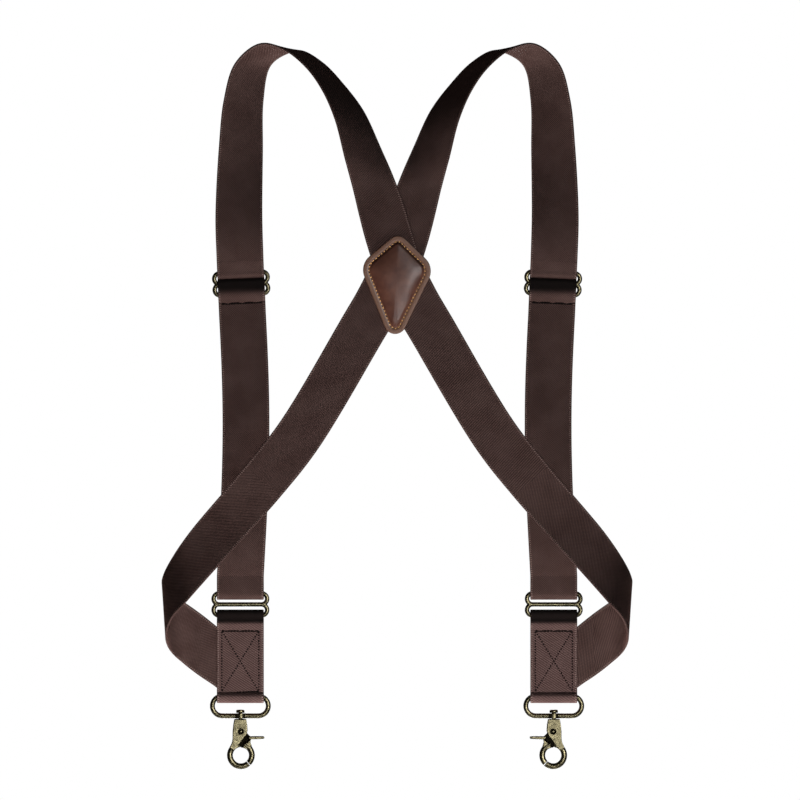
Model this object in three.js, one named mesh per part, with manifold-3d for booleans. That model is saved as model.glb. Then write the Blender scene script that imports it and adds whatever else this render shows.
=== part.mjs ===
// Suspenders with an X back, hanging as they are worn.
// Two elastic straps start at the front, go over the shoulders, cross under a leather patch
// on the back, turn round the hips and end in the hook tabs at the front.
// +Z is up, +X is the wearer's right, and the back of the garment faces -Y. The origin is
// midway between the two shoulder arches, at the height of their tops. All sizes are in mm.
import * as THREE from "three";
import { mergeVertices } from "three/addons/utils/BufferGeometryUtils.js";
import Module from "manifold-3d";

const wasm = await Module();
wasm.setup();

// ---- Driving dimensions ----

const webbing = { width: 35, thickness: 1.3 };
const gap = 0.3; // between pieces that touch

const frontX = 117; // from the middle of the garment to the middle of a front strap
const frontY = 22; // the front straps' plane
const backY = -21; // the back straps' plane
const adjusterZ = -176.7; // the adjuster's middle bar
const adjusterLean = 2.4; // degrees, the adjuster's outer end is the lower one
const lowerSlideZ = -416.3; // the lower slide's middle bar
const crossZ = -165; // where the straps cross
const hipReach = 38.9; // from a front strap's edge out to the middle of the hip turn
const hipDrop = 4.2; // from the lower slide down to the middle of the hip turn
const hipPass = 7.3; // from the lower slide down to the hip strap's edge as it goes by

const slideWire = 1.7; // radius
const slotPlay = 0.1; // height of a slide's slots over three layers of webbing
const slideOverrun = 1.65; // how far the webbing's edge lies over a slide's round end
const foldSlack = 0.9; // extra room round the bar that the strap's fold hangs on
const tabSlack = 0.1; // the same, round the bars that the tab hangs on
const seamDrop = 13; // from the adjuster's middle bar down to the loop's seam

const tabLength = 60.1; // between the bars that the tab is looped round
const loopWire = 1.88; // radius
const loopLobe = 7.4; // radius of each end, to the middle of the wire
const loopOverrun = 4; // how far the webbing's edge lies over the loop's round end
const thread = 0.8; // width of a row of stitches
const stitchBox = { side: 3.7, height: 45, below: 10.6 }; // side: in from the tab's edge

const collar = { radius: 3.8, height: 3.9 };
const post = { shank: 1.5, head: 3.15, headHeight: 2.4, depth: 2.6 };
const hook = {
  thickness: 6,
  slot: 3.4, // width of the slot between the hook's cheeks
  pinDrop: 9.5, // from the top of the hook down to the pin
  pinX: 0.4,
  ringDrop: 17.7, // from the pin down to the middle of the ring
  ring: 8.2, // radius, to the middle of the ring's bar
  bar: 2.2, // half the width of the ring's bar
};
const pinRadius = 1.3;
const tailThickness = 1.2;
const spring = { wire: 0.25, radius: 2.1, turns: 2 };

const patch = {
  lean: 2, // degrees, top towards +X
  top: { x: 0, z: 15.4, r: 8 },
  side: { x: 12, z: -2.5, r: 13.2 },
  bottom: { x: 0, z: -41.4, r: 8.3 },
  leather: 1.5,
  board: 1.2,
  lining: 1,
  seam: 4.3, // from the edge in to the stitching
  boardInset: 6,
};

const colours = {
  webbing: 0x3a2a28,
  brass: 0x6b6148,
  leather: 0x5a382c,
  lining: 0x3b2a22,
  board: 0x8a7458,
  goldThread: 0xb98f4e,
  thread: 0x4a3835,
  steel: 0x8d8d8d,
};

// ---- Values that follow ----

const half = webbing.thickness / 2;
const slideLobe = slideWire + (3 * (webbing.thickness + gap) + slotPlay) / 2;
const slideSpan = webbing.width + 2 * (slideLobe - slideOverrun);
const loopSpan = webbing.width + 2 * (loopLobe - loopOverrun);

// How far a frame's wire comes in from its bar's axis, under the edge of the webbing, where
// the bar already curves into the end of the frame.
function wireReach(lobe, span, wire) {
  const past = Math.max(0, webbing.width / 2 - (span / 2 - lobe));
  const inner = lobe - wire;
  return lobe - Math.sqrt(inner ** 2 - Math.min(past, 0.9 * inner) ** 2);
}
const barRadius = wireReach(slideLobe, slideSpan, slideWire) + gap + half; // webbing's middle
const tabTopRadius = barRadius + tabSlack;
const foldRadius = barRadius + foldSlack;
const tabBottomRadius = wireReach(loopLobe, loopSpan, loopWire) + gap + half + tabSlack;
const wovenRadius = barRadius + webbing.thickness + gap; // round the loop on the middle bar
const slidePitch = 2 * slideLobe; // between a slide's bars
const tabTopZ = lowerSlideZ - slidePitch;
const loopBarZ = tabTopZ - tabLength;
const loopBottomZ = loopBarZ - 2 * loopLobe;
const collarTop = loopBottomZ + collar.height / 2;
const hookTop = loopBottomZ - collar.height / 2 - gap;
const pinZ = hookTop - hook.pinDrop;
const hipX = frontX + webbing.width / 2 + hipReach;
const hipZ = lowerSlideZ - hipDrop;
const lapHalf = half + gap / 2; // from the middle of two laid straps to each one's middle

// ---- Helpers ----

const metal = { roughness: 0.35, metalness: 1 };
const cloth = { roughness: 0.85, metalness: 0 };

function mesh(name, geometry, color, finish) {
  const made = new THREE.Mesh(
    geometry,
    new THREE.MeshStandardMaterial({ color, ...finish }),
  );
  made.name = name;
  return made;
}

function solid(geometry) {
  const bare = geometry.index ? geometry.toNonIndexed() : geometry.clone();
  bare.deleteAttribute("normal");
  bare.deleteAttribute("uv");
  const merged = mergeVertices(bare, 1e-4);
  return new wasm.Manifold(
    new wasm.Mesh({
      numProp: 3,
      vertProperties: merged.attributes.position.array,
      triVerts: new Uint32Array(merged.index.array),
    }),
  );
}

function geometryOf(made) {
  const { vertProperties, triVerts } = made.getMesh();
  return new THREE.BufferGeometry()
    .setAttribute("position", new THREE.BufferAttribute(vertProperties, 3))
    .setIndex(new THREE.BufferAttribute(triVerts, 1));
}

// Rings of as many points each, joined in order into one closed body. Each ring runs
// anticlockwise when it is seen from the next one. The quads of the side named by turned are
// split along their other diagonal.
function loft(rings, closed = false, turned = -1) {
  const sides = rings[0].length;
  const index = [];
  const count = closed ? rings.length : rings.length - 1;
  for (let i = 0; i < count; i++) {
    const here = i * sides;
    const next = ((i + 1) % rings.length) * sides;
    for (let j = 0; j < sides; j++) {
      const k = (j + 1) % sides;
      if (j === turned) {
        index.push(here + j, here + k, next + j);
        index.push(here + k, next + k, next + j);
      } else {
        index.push(here + j, here + k, next + k);
        index.push(here + j, next + k, next + j);
      }
    }
  }
  if (!closed) {
    const last = (rings.length - 1) * sides;
    for (let j = 1; j < sides - 1; j++) {
      index.push(0, j + 1, j);
      index.push(last, last + j, last + j + 1);
    }
  }
  return new THREE.BufferGeometry().setFromPoints(rings.flat()).setIndex(index);
}

// A strap between two edges: each station holds a point of the near and of the far edge.
// Both faces are split along the same diagonals, so it stays as thick where it twists.
function ribbon(stations) {
  const middles = stations.map(([a, b]) => a.clone().add(b).multiplyScalar(0.5));
  const rings = stations.map(([near, far], i) => {
    const along = middles[Math.min(i + 1, middles.length - 1)]
      .clone()
      .sub(middles[Math.max(i - 1, 0)]);
    const up = along.cross(far.clone().sub(near)).setLength(half);
    return [
      near.clone().sub(up),
      far.clone().sub(up),
      far.clone().add(up),
      near.clone().add(up),
    ];
  });
  return loft(rings, false, 0);
}

// A strap of even width whose middle line lies in a plane of constant x.
function bentStrap(path, width = webbing.width) {
  const side = new THREE.Vector3(width / 2, 0, 0);
  return ribbon(
    path.map(([y, z]) => {
      const middle = new THREE.Vector3(0, y, z);
      return [middle.clone().sub(side), middle.clone().add(side)];
    }),
  );
}

// Points of an arc in the plane of y and z, in degrees from +Y towards +Z.
function arc(y, z, radius, from, to, steps = 8) {
  return Array.from({ length: steps + 1 }, (_, i) => {
    const angle = THREE.MathUtils.degToRad(from + ((to - from) * i) / steps);
    return [y + radius * Math.cos(angle), z + radius * Math.sin(angle)];
  });
}

// The rings of an eight-sided wire along a closed path in a plane of constant y.
function wireRings(path, radius, sides = 8) {
  const across = new THREE.Vector3(0, 1, 0);
  const corner = radius / Math.cos(Math.PI / sides);
  return path.map((point, i) => {
    const before = path[(i + path.length - 1) % path.length];
    const after = path[(i + 1) % path.length];
    const along = after.clone().sub(before).normalize();
    const outward = across.clone().cross(along);
    return Array.from({ length: sides }, (_, j) => {
      const angle = ((j + 0.5) * 2 * Math.PI) / sides;
      return point
        .clone()
        .addScaledVector(outward, corner * Math.cos(angle))
        .addScaledVector(across, corner * Math.sin(angle));
    });
  });
}

function ovalWire(span, lobe, wire, z = 0) {
  const path = [];
  const steps = 10;
  for (const side of [1, -1]) {
    for (let i = 0; i <= steps; i++) {
      const angle = (Math.PI * i) / steps;
      path.push(
        new THREE.Vector3(
          side * (span / 2 - lobe + lobe * Math.sin(angle)),
          0,
          z + side * lobe * Math.cos(angle),
        ),
      );
    }
  }
  return loft(wireRings(path, wire), true);
}

// A bar of the hook's ring, in degrees round the ring from +X towards +Z.
function ringBar(from, to, steps, sides = 8) {
  const corner = hook.bar / Math.cos(Math.PI / sides);
  const rings = Array.from({ length: steps + 1 }, (_, i) => {
    const turn = THREE.MathUtils.degToRad(from + ((to - from) * i) / steps);
    return Array.from({ length: sides }, (_, j) => {
      const angle = ((j + 0.5) * 2 * Math.PI) / sides;
      const radius = hook.ring + corner * Math.cos(angle);
      return new THREE.Vector3(
        hook.pinX + radius * Math.cos(turn),
        corner * Math.sin(angle),
        -hook.ringDrop + radius * Math.sin(turn),
      );
    });
  });
  return loft(rings);
}

// A plate cut to an outline of [x, z] points, from y = low to y = high.
function plate(outline, low, high) {
  const shape = new THREE.Shape(outline.map(([x, z]) => new THREE.Vector2(x, z)));
  return new THREE.ExtrudeGeometry(shape, { depth: high - low, bevelEnabled: false })
    .rotateX(Math.PI / 2)
    .translate(0, high, 0);
}

function cylinder(radius, low, high, sides = 16) {
  return new THREE.CylinderGeometry(radius, radius, high - low, sides).translate(
    0,
    (low + high) / 2,
    0,
  );
}

const upright = (geometry) => geometry.rotateX(Math.PI / 2);

// ---- The long strap's route ----

// A station is the middle of the strap, and the way from its near edge to its far edge.
// Where that is longer than 1 the station crosses the strap at a slant.
const across = ([x, y, z], [dx, dy, dz]) => {
  const middle = new THREE.Vector3(x, y, z);
  const reach = new THREE.Vector3(dx, dy, dz).multiplyScalar(webbing.width / 2);
  return [middle.clone().sub(reach), middle.clone().add(reach)];
};

const lean = THREE.MathUtils.degToRad(adjusterLean);
const wovenTop = slidePitch + 8.4; // above the adjuster's middle bar
const wovenBottom = -23.3;
const inAdjuster = (y, z) => [
  -frontX + 0.6 - z * Math.sin(lean),
  frontY + y,
  adjusterZ + z * Math.cos(lean),
];
const frontTop = -76; // the front straps are straight below this height
const flatAbove = 1.8 * webbing.width; // over the crossing, where both straps lie flat
const tiltAbove = 2.42 * webbing.width; // and where they still tilt to the shoulders
const slantX = (above) => 4.3 - 0.352 * above;
const tuckSlant = 1.31; // the hip strap's height over its width, as it goes into the tab
const tuckZ = lowerSlideZ - hipPass - (tuckSlant * webbing.width) / 2;
const topOfWoven = inAdjuster(-barRadius, wovenTop + gap);

// The strap that starts at the left adjuster and ends in the right tab, lifted by layer
// where it lies on the other one.
function route(layer) {
  const crossY = backY + layer;
  return [
    across(topOfWoven, [1, 0, 0.04]),
    across([-frontX - 1, frontY - 1.2, (topOfWoven[2] + frontTop) / 2 - 8], [1, 0.1, 0.02]),
    across([-frontX + 0.4, frontY - 2, frontTop], [0.94, 0.34, 0]),
    across([-frontX + 2.5, frontY - 4.5, -40], [0.84, 0.54, 0]),
    across([-frontX + 9.1, 11.5, -14.1], [0.737, 0.67, -0.05]),
    across([-frontX + 24, 0.5, -2.4], [0.511, 0.834, -0.209]),
    across([-frontX + 39, -6.5, -3.2], [0.355, 0.94, -0.011]),
    across([-frontX + 55.6, -12.5, -14.6], [0.35, 0.929, 0.109]),
    across([-frontX + 69.2, -16.5, -31], [0.44, 0.866, 0.143]),
    across([-frontX + 81.4, -19.5, -51.9], [0.6, 0.706, 0.2]),
    across([slantX(tiltAbove), crossY, crossZ + tiltAbove], [0.75, 0.4, 0.29]),
    across([slantX(flatAbove), crossY, crossZ + flatAbove], [0.86, 0.02, 0.28]),
    across([-10.8, crossY, crossZ + 39.8], [0.95, 0, 0.27]),
    across([-6, crossY, crossZ + 22.7], [0.955, 0, 0.3]),
    across([1.5, crossY, crossZ + 0.2], [0.911, 0, 0.411]),
    across([13.2, crossY, crossZ - 24.5], [0.866, 0, 0.509]),
    across([25.3, crossY, crossZ - 45.2], [0.863, 0, 0.506]),
    across([hipX - 101.2, backY + layer / 2, hipZ + 131.5], [0.79, 0, 0.61]),
    across([hipX - 73.7, backY + 0.5, hipZ + 96.3], [0.76, 0.05, 0.64]),
    across([hipX - 30.1, backY + 3, hipZ + 46.2], [0.64, 0.2, 0.69]),
    across([hipX - 12.2, backY + 6, hipZ + 24.4], [0.24, 0.1, 1.03]),
    across([hipX - 2.9, backY + 12.5, hipZ + 11], [0.157, 0.143, 0.969]),
    across([hipX, backY + 21.5, hipZ], [0.086, 0.03, 1.149]),
    across([hipX - 3.9, frontY - 12.5, hipZ - 9], [0.06, 0.04, 1.257]),
    across([hipX - 14.6, frontY - 5, hipZ - 17.2], [-0.046, 0.043, 1.297]),
    across([hipX - 26.4, frontY - 1, tuckZ], [-0.05, 0.01, tuckSlant]),
    across([hipX - 38.2, frontY, tuckZ - 8.7], [0, 0, tuckSlant]),
    across([hipX - 68.2, frontY, tuckZ - 34.1], [0, 0, tuckSlant]),
  ];
}
const frontEnd = 2; // stations where one piece of the strap ends and the next begins
const hipStart = 18;
const hipEnd = 25;
const routeEnd = 27;

// A piece of the route between two stations, with half a gap left at each end.
function routePiece(layer, from, to, steps) {
  const stations = route(layer);
  const edges = [0, 1].map(
    (side) =>
      new THREE.CatmullRomCurve3(
        stations.map((station) => station[side]),
        false,
        "centripetal",
      ),
  );
  const at = (t) => edges.map((edge) => edge.getPoint(t / (stations.length - 1)));
  const middle = (t) => at(t)[0].add(at(t)[1]);
  const trim = (t, way) => {
    const small = 0.01 * way;
    return t + (small * gap) / middle(t).distanceTo(middle(t + small));
  };
  const first = from === 0 ? 0 : trim(from, 1);
  const last = to === routeEnd ? to : trim(to, -1);
  return Array.from({ length: steps + 1 }, (_, i) => at(first + ((last - first) * i) / steps));
}

// ---- Pieces of one side, modelled on the wearer's left ----

function buildFrontStrap() {
  return ribbon(routePiece(0, 0, frontEnd, 8));
}

// The layers between the adjuster and the lower slide bow a little towards the middle.
function layer(topY, bottomY, bow = 3.8) {
  const [topX, , topZ] = inAdjuster(0, wovenBottom - gap);
  const bottomZ = foldTopZ + gap;
  const steps = 10;
  return ribbon(
    Array.from({ length: steps + 1 }, (_, i) => {
      const t = i / steps;
      const x = topX + (-frontX - topX) * t + bow * Math.sin(Math.PI * t) * (1 - t / 4);
      const slope = -lean * (1 - t);
      return across(
        [x, frontY + topY + (bottomY - topY) * t, topZ + (bottomZ - topZ) * t],
        [Math.cos(slope), 0, -Math.sin(slope)],
      );
    }),
  );
}

const foldTopZ = lowerSlideZ + slidePitch + 13;
const foldY = 2.2;
const runningTopY = 2.4;
const returnTopY = 0.6;

function wovenPath() {
  // From in front of the top bar, down through the upper slot, to behind the middle bar.
  const turn = THREE.MathUtils.radToDeg(
    Math.asin((barRadius + wovenRadius) / slidePitch),
  );
  return [
    [-barRadius, wovenTop],
    ...arc(0, slidePitch, barRadius, 180, 180 + turn, 6),
    ...arc(0, 0, wovenRadius, turn, 0, 8),
    [wovenRadius, -slidePitch],
    [(wovenRadius + runningTopY) / 2, -slidePitch - 7.5],
    [runningTopY, wovenBottom],
  ];
}

function loopPath() {
  // Up behind the bars, over the middle bar, and down in front of them to the seam.
  return [
    [returnTopY, wovenBottom],
    [lapHalf, -seamDrop - 1.5],
    [lapHalf + 0.6, -seamDrop + 0.6],
    ...arc(0, -slidePitch, barRadius, -25, 0, 2),
    ...arc(0, 0, barRadius, 0, 180, 12),
    ...arc(0, -slidePitch, barRadius, 180, 205, 2),
    [-lapHalf - 0.6, -seamDrop + 0.6],
    [-lapHalf, -seamDrop - 0.6],
  ];
}

function slideFrame() {
  return geometryOf(
    solid(ovalWire(slideSpan, slideLobe, slideWire, slideLobe)).add(
      solid(ovalWire(slideSpan, slideLobe, slideWire, -slideLobe)),
    ),
  );
}

function foldPath() {
  const bar = slidePitch;
  const top = foldTopZ - lowerSlideZ;
  return [
    [foldY, top],
    ...arc(0, bar, foldRadius, 0, -180, 12),
    [-foldY, top],
  ];
}

const tabLap = half * 2 + gap; // from the hip strap's end to each layer of the tab
const tabJoin = -tabLength / 2; // where the tab's two ends meet, below its top bar
function tabPath() {
  const pinchTop = -tabTopRadius - 4;
  const pinchBottom = -tabLength + 3.8;
  return [
    [tabLap, tabJoin + gap / 2],
    [tabLap, pinchTop],
    ...arc(0, 0, tabTopRadius, 0, 180, 12),
    [-tabLap, pinchTop],
    [-tabLap, pinchBottom],
    ...arc(0, -tabLength, tabBottomRadius, 180, 360, 12),
    [tabLap, pinchBottom],
    [tabLap, tabJoin - gap / 2],
  ];
}

function tabStitching() {
  const face = -tabLap - half - gap;
  const high = -stitchBox.below;
  const low = high - stitchBox.height;
  const w = webbing.width / 2 - stitchBox.side;
  const row = (x1, z1, x2, z2) => {
    const along = new THREE.Vector2(x2 - x1, z2 - z1).setLength(thread / 2);
    const ends = [
      [x1 - along.x - along.y, z1 - along.y + along.x],
      [x1 - along.x + along.y, z1 - along.y - along.x],
      [x2 + along.x + along.y, z2 + along.y - along.x],
      [x2 + along.x - along.y, z2 + along.y + along.x],
    ];
    return solid(plate(ends, face - 0.4, face));
  };
  const rows = [
    [-w, high, w, high],
    [-w, low, w, low],
    [-w, low, -w, high],
    [w, low, w, high],
    [-w, low, w, high],
    [-w, high, w, low],
  ];
  return geometryOf(
    rows.map((ends) => row(...ends)).reduce((all, next) => all.add(next)),
  );
}

// The hip strap's end, cut off square inside the tab. It is on the wearer's right.
function hipStrapEnd() {
  const inset = 2;
  const low = loopBarZ + tabBottomRadius + 1;
  const box = new THREE.BoxGeometry(200, 10, 200).translate(
    frontX - webbing.width / 2 + inset + 100,
    frontY,
    low + 100,
  );
  return geometryOf(solid(ribbon(routePiece(0, hipEnd, routeEnd, 6))).intersect(solid(box)));
}

function hookLoop() {
  const ring = solid(ovalWire(loopSpan, loopLobe, loopWire, -loopLobe));
  const middle = loopBottomZ - loopBarZ;
  const low = middle - collar.height / 2;
  const high = middle + collar.height / 2;
  const outer = solid(upright(cylinder(collar.radius, low, high)));
  const bore = solid(upright(cylinder(post.shank + gap, low - 3, high + 3)));
  return geometryOf(ring.add(outer).subtract(bore));
}

function swivelPost() {
  const under = collarTop + gap;
  const top = under + post.headHeight;
  const profile = [
    [0, hookTop - post.depth],
    [post.shank, hookTop - post.depth],
    [post.shank, under],
    [post.head, under],
    [post.head, top - 0.9],
    [post.head - 0.8, top - 0.1],
    [0, top],
  ];
  return upright(
    new THREE.LatheGeometry(
      profile.map(([r, z]) => new THREE.Vector2(r, z)),
      16,
    ),
  );
}

// The hook's own frame has its origin on the swivel's axis at the height of the pin.
function hookBody() {
  const top = hook.pinDrop;
  const outline = [
    [-4.5, top],
    [-5.3, 5],
    [-5.8, 0],
    [-5.8, -5.5],
    [-6.4, -8.5],
    [-8.2, -12],
    [-5.5, -14],
    [-2.5, -12.6],
    [0, -11.4],
    [-0.2, -9.3],
    [5.1, -2.6],
    [5.5, 0.4],
    [5.2, 4.6],
    [4.5, top],
  ];
  const cavity = [
    [-3.3, 3.5],
    [-3.3, -4],
    [-1.2, -8.5],
    [0.3, -10],
    [7, -3],
    [7, 3.5],
  ];
  const y = hook.thickness / 2;
  const socket = post.depth + gap;
  const body = solid(plate(outline, -y, y))
    .subtract(solid(plate(cavity, -hook.slot / 2, hook.slot / 2)))
    .subtract(
      solid(cylinder(pinRadius + gap, -y - 1, y + 1).translate(hook.pinX, 0, 0)),
    )
    .subtract(solid(upright(cylinder(post.shank + gap, top - socket, top + 1))));
  return geometryOf(body.add(solid(ringBar(96, 312, 18))));
}

function pin() {
  const y = hook.thickness / 2;
  return cylinder(pinRadius, -y, y).translate(hook.pinX, 0, 0);
}

function trigger() {
  const jaw = [
    [6.9, -3.2],
    [6.4, -4.1],
    [1.2, -10.4],
    [1.6, -11.5],
    [5, -13.2],
    [8.6, -11],
    [7.4, -8.2],
    [7.6, -5.9],
  ];
  const lever = [
    [6.4, -4.1],
    [7, -6.6],
    [8, -5.9],
    [17.4, -5.8],
    [18, -4.5],
    [17.4, -3.2],
    [6.9, -3.2],
  ];
  const tail = [
    [-1.6, -1.9],
    [1.2, -10.4],
    [6.9, -3.6],
    [3, 1.2],
    [0.4, 1.8],
  ];
  const high = -hook.slot / 2 + gap + tailThickness;
  const low = -hook.slot / 2 + gap;
  const eye = cylinder(2.8, low, high).translate(hook.pinX, 0, 0);
  const bore = cylinder(pinRadius + gap, low - 1, high + 1).translate(hook.pinX, 0, 0);
  return geometryOf(
    solid(ringBar(-45, 75, 10))
      .add(solid(plate(jaw, -2, 2)))
      .add(solid(plate(lever, -1.6, 1.6)))
      .add(solid(plate(tail, low, high)).add(solid(eye)))
      .subtract(solid(bore)),
  );
}

// A coil round the pin, beside the trigger's tail.
function triggerSpring() {
  const low = -hook.slot / 2 + 2 * gap + tailThickness + spring.wire;
  const high = hook.slot / 2 - gap - spring.wire;
  const count = spring.turns * 10;
  const points = Array.from({ length: count + 1 }, (_, i) => {
    const angle = (2 * Math.PI * i) / 10;
    return new THREE.Vector3(
      hook.pinX + spring.radius * Math.cos(angle),
      low + ((high - low) * i) / count,
      spring.radius * Math.sin(angle),
    );
  });
  const section = new THREE.Shape().absarc(0, 0, spring.wire, 0, 2 * Math.PI);
  return new THREE.ExtrudeGeometry(section, {
    steps: count,
    curveSegments: 3,
    bevelEnabled: false,
    extrudePath: new THREE.CatmullRomCurve3(points),
  });
}

// ---- The crossing patch ----

// The outline round four corner circles, drawn in by inset.
function patchOutline(inset) {
  const { top, side, bottom } = patch;
  const circles = [side, top, { ...side, x: -side.x }, bottom];
  const outline = [];
  circles.forEach((circle, i) => {
    const before = circles[(i + 3) % 4];
    const after = circles[(i + 1) % 4];
    const from = tangentAngle(before, circle);
    let to = tangentAngle(circle, after);
    while (to < from) to += 2 * Math.PI;
    const steps = 7;
    for (let k = 0; k <= steps; k++) {
      const angle = from + ((to - from) * k) / steps;
      const r = circle.r - inset;
      outline.push([circle.x + r * Math.cos(angle), circle.z + r * Math.sin(angle)]);
    }
  });
  return outline;
}

// The angle, on both circles, of the outer line that touches one and then the other.
function tangentAngle(a, b) {
  const dx = b.x - a.x;
  const dz = b.z - a.z;
  return Math.atan2(dz, dx) - Math.acos((a.r - b.r) / Math.hypot(dx, dz));
}

function stitchRing(front) {
  const outer = solid(plate(patchOutline(patch.seam - thread / 2), front - 0.35, front));
  const hole = plate(patchOutline(patch.seam + thread / 2), front - 1, front + 1);
  return geometryOf(outer.subtract(solid(hole)));
}

function buildPatch() {
  const group = new THREE.Group();
  group.position.set(0, 0, crossZ);
  group.rotation.y = THREE.MathUtils.degToRad(patch.lean);
  const front = backY - 2 * lapHalf - gap / 2;
  const boardFront = front - patch.board;
  const leatherBack = boardFront - gap;
  const leatherFront = leatherBack - patch.leather;
  const back = backY + 2 * lapHalf + gap / 2;
  const board = plate(patchOutline(patch.boardInset), boardFront, front);
  const leather = plate(patchOutline(0), leatherFront, leatherBack);
  const lining = plate(patchOutline(0.5), back, back + patch.lining);
  group.add(
    mesh("patch_front", leather, colours.leather, { roughness: 0.35, metalness: 0 }),
    mesh("patch_board", board, colours.board, cloth),
    mesh("patch_lining", lining, colours.lining, cloth),
    mesh("patch_stitching", stitchRing(leatherFront - gap), colours.goldThread, cloth),
  );
  return group;
}

// ---- Assembly ----

// One side's own pieces. The wearer's right is the left side mirrored.
function buildSide(side) {
  const group = new THREE.Group();
  const named = (name, geometry, colour, finish) =>
    mesh(`${name}_${side}`, geometry, colour, finish);

  const adjuster = new THREE.Group();
  adjuster.position.set(...inAdjuster(0, 0));
  adjuster.rotation.y = -lean;
  adjuster.add(
    named("adjuster", slideFrame(), colours.brass, metal),
    named("woven_strap", bentStrap(wovenPath()), colours.webbing, cloth),
    named("strap_loop", bentStrap(loopPath()), colours.webbing, cloth),
  );

  const slide = new THREE.Group();
  slide.position.set(-frontX, frontY, lowerSlideZ);
  slide.add(
    named("lower_slide", slideFrame(), colours.brass, metal),
    named("strap_fold", bentStrap(foldPath()), colours.webbing, cloth),
  );

  const tab = new THREE.Group();
  tab.position.set(-frontX, frontY, tabTopZ);
  tab.add(
    named("hook_tab", bentStrap(tabPath()), colours.webbing, cloth),
    named("tab_stitching", tabStitching(), colours.thread, cloth),
  );

  const loop = new THREE.Group();
  loop.position.set(-frontX, frontY, loopBarZ);
  loop.add(named("hook_loop", hookLoop(), colours.brass, metal));

  const swivel = new THREE.Group();
  swivel.position.set(-frontX, frontY, 0);
  swivel.add(named("swivel_post", swivelPost(), colours.brass, metal));

  const clip = new THREE.Group();
  clip.position.set(-frontX, frontY, pinZ);
  clip.add(
    named("hook_body", hookBody(), colours.brass, metal),
    named("trigger", trigger(), colours.brass, metal),
    named("trigger_pin", pin(), colours.brass, metal),
    named("trigger_spring", triggerSpring(), colours.steel, metal),
  );

  group.add(
    adjuster,
    slide,
    tab,
    loop,
    swivel,
    clip,
    named("front_strap", buildFrontStrap(), colours.webbing, cloth),
    named("running_strap", layer(runningTopY, foldY), colours.webbing, cloth),
    named("return_strap", layer(returnTopY, -foldY), colours.webbing, cloth),
  );
  if (side === "right") group.scale.x = -1;
  return group;
}

// A long strap, from the front of one shoulder to the other hip. The left one lies on top.
function buildLongStrap(side) {
  const other = side === "left" ? "right" : "left";
  const lift = side === "left" ? -lapHalf : lapHalf;
  const group = new THREE.Group();
  const piece = (name, geometry) => mesh(name, geometry, colours.webbing, cloth);
  group.add(
    piece(`long_strap_${side}`, ribbon(routePiece(lift, frontEnd, hipStart, 48))),
    piece(`hip_strap_${other}`, ribbon(routePiece(lift, hipStart, hipEnd, 28))),
    piece(`hip_strap_end_${other}`, hipStrapEnd()),
  );
  if (side === "right") group.scale.x = -1;
  return group;
}

const suspenders = new THREE.Group();
suspenders.add(
  buildLongStrap("left"),
  buildLongStrap("right"),
  buildPatch(),
  buildSide("left"),
  buildSide("right"),
);

export default suspenders;
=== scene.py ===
# %% [markdown]
# # Suspenders with an X back
#
# A pair of hook-type suspenders hangs as it is worn. Two elastic straps go over the shoulders,
# cross under a leather patch, turn round the hips and end in two hook tabs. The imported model
# holds every size and every joint. This lesson gives its pieces their real surface: woven
# webbing, a domed leather patch, thread and antique brass.

# %% Load the frame
import math

import bmesh
import bpy
from mathutils import Matrix, Vector


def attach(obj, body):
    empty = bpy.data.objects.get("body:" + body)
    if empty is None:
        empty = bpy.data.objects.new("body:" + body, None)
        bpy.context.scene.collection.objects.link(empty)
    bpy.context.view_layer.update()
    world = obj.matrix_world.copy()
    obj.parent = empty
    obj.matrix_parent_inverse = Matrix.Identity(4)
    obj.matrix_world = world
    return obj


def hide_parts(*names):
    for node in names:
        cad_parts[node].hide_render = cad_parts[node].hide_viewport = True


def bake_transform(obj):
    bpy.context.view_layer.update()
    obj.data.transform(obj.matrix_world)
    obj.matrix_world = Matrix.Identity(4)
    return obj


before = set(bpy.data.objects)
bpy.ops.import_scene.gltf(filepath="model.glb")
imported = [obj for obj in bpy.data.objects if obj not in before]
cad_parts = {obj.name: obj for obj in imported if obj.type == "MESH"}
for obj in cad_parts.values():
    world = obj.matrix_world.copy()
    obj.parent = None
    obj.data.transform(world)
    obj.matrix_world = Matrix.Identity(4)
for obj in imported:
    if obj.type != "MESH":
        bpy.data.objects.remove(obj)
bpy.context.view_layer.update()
MM = 0.001

# %% [markdown]
# ## Camera
#
# Straps that hang at two depths would lean apart under a short lens. A long lens from far away
# keeps both layers in scale, as catalogue pictures of flat goods do. It looks level, along +Y,
# at a point a little above the middle.

# %% Camera
VIEW_WIDTH = 596 * MM
FOCAL_LENGTH = 600
AIM = Vector((2.2, 0, -263.7)) * MM

lens = bpy.data.cameras.new("camera")
lens.lens = FOCAL_LENGTH
lens.clip_end = 100
camera = bpy.data.objects.new("camera", lens)
bpy.context.scene.collection.objects.link(camera)
distance = VIEW_WIDTH * lens.lens / lens.sensor_width
camera.location = AIM - Vector((0, distance, 0))
camera.rotation_euler = (math.radians(90), 0, 0)
bpy.context.scene.camera = camera
print(f"camera {distance:.2f} m away")

# %% [markdown]
# ## Studio
#
# Brown webbing shows its weave when the light comes from low in front: what faces down glows
# and what faces up goes nearly black. So the boxes for the webbing stand low, and the room
# above is dark. Metal and polish want narrow lights in other places, to show as thin bright
# lines, so those boxes light only what is glossy. The camera sees a white room and a pale
# floor, while the pieces are lit by a dim room, so that the brass reflects something dark.

# %% Colour
def linear(hex_colour):
    """An sRGB hex colour, such as "#3a2a28", as Blender's linear red, green, blue and 1."""
    parts = [int(hex_colour[i : i + 2], 16) / 255 for i in (1, 3, 5)]
    return [p / 12.92 if p <= 0.04045 else ((p + 0.055) / 1.055) ** 2.4 for p in parts] + [1.0]


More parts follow.
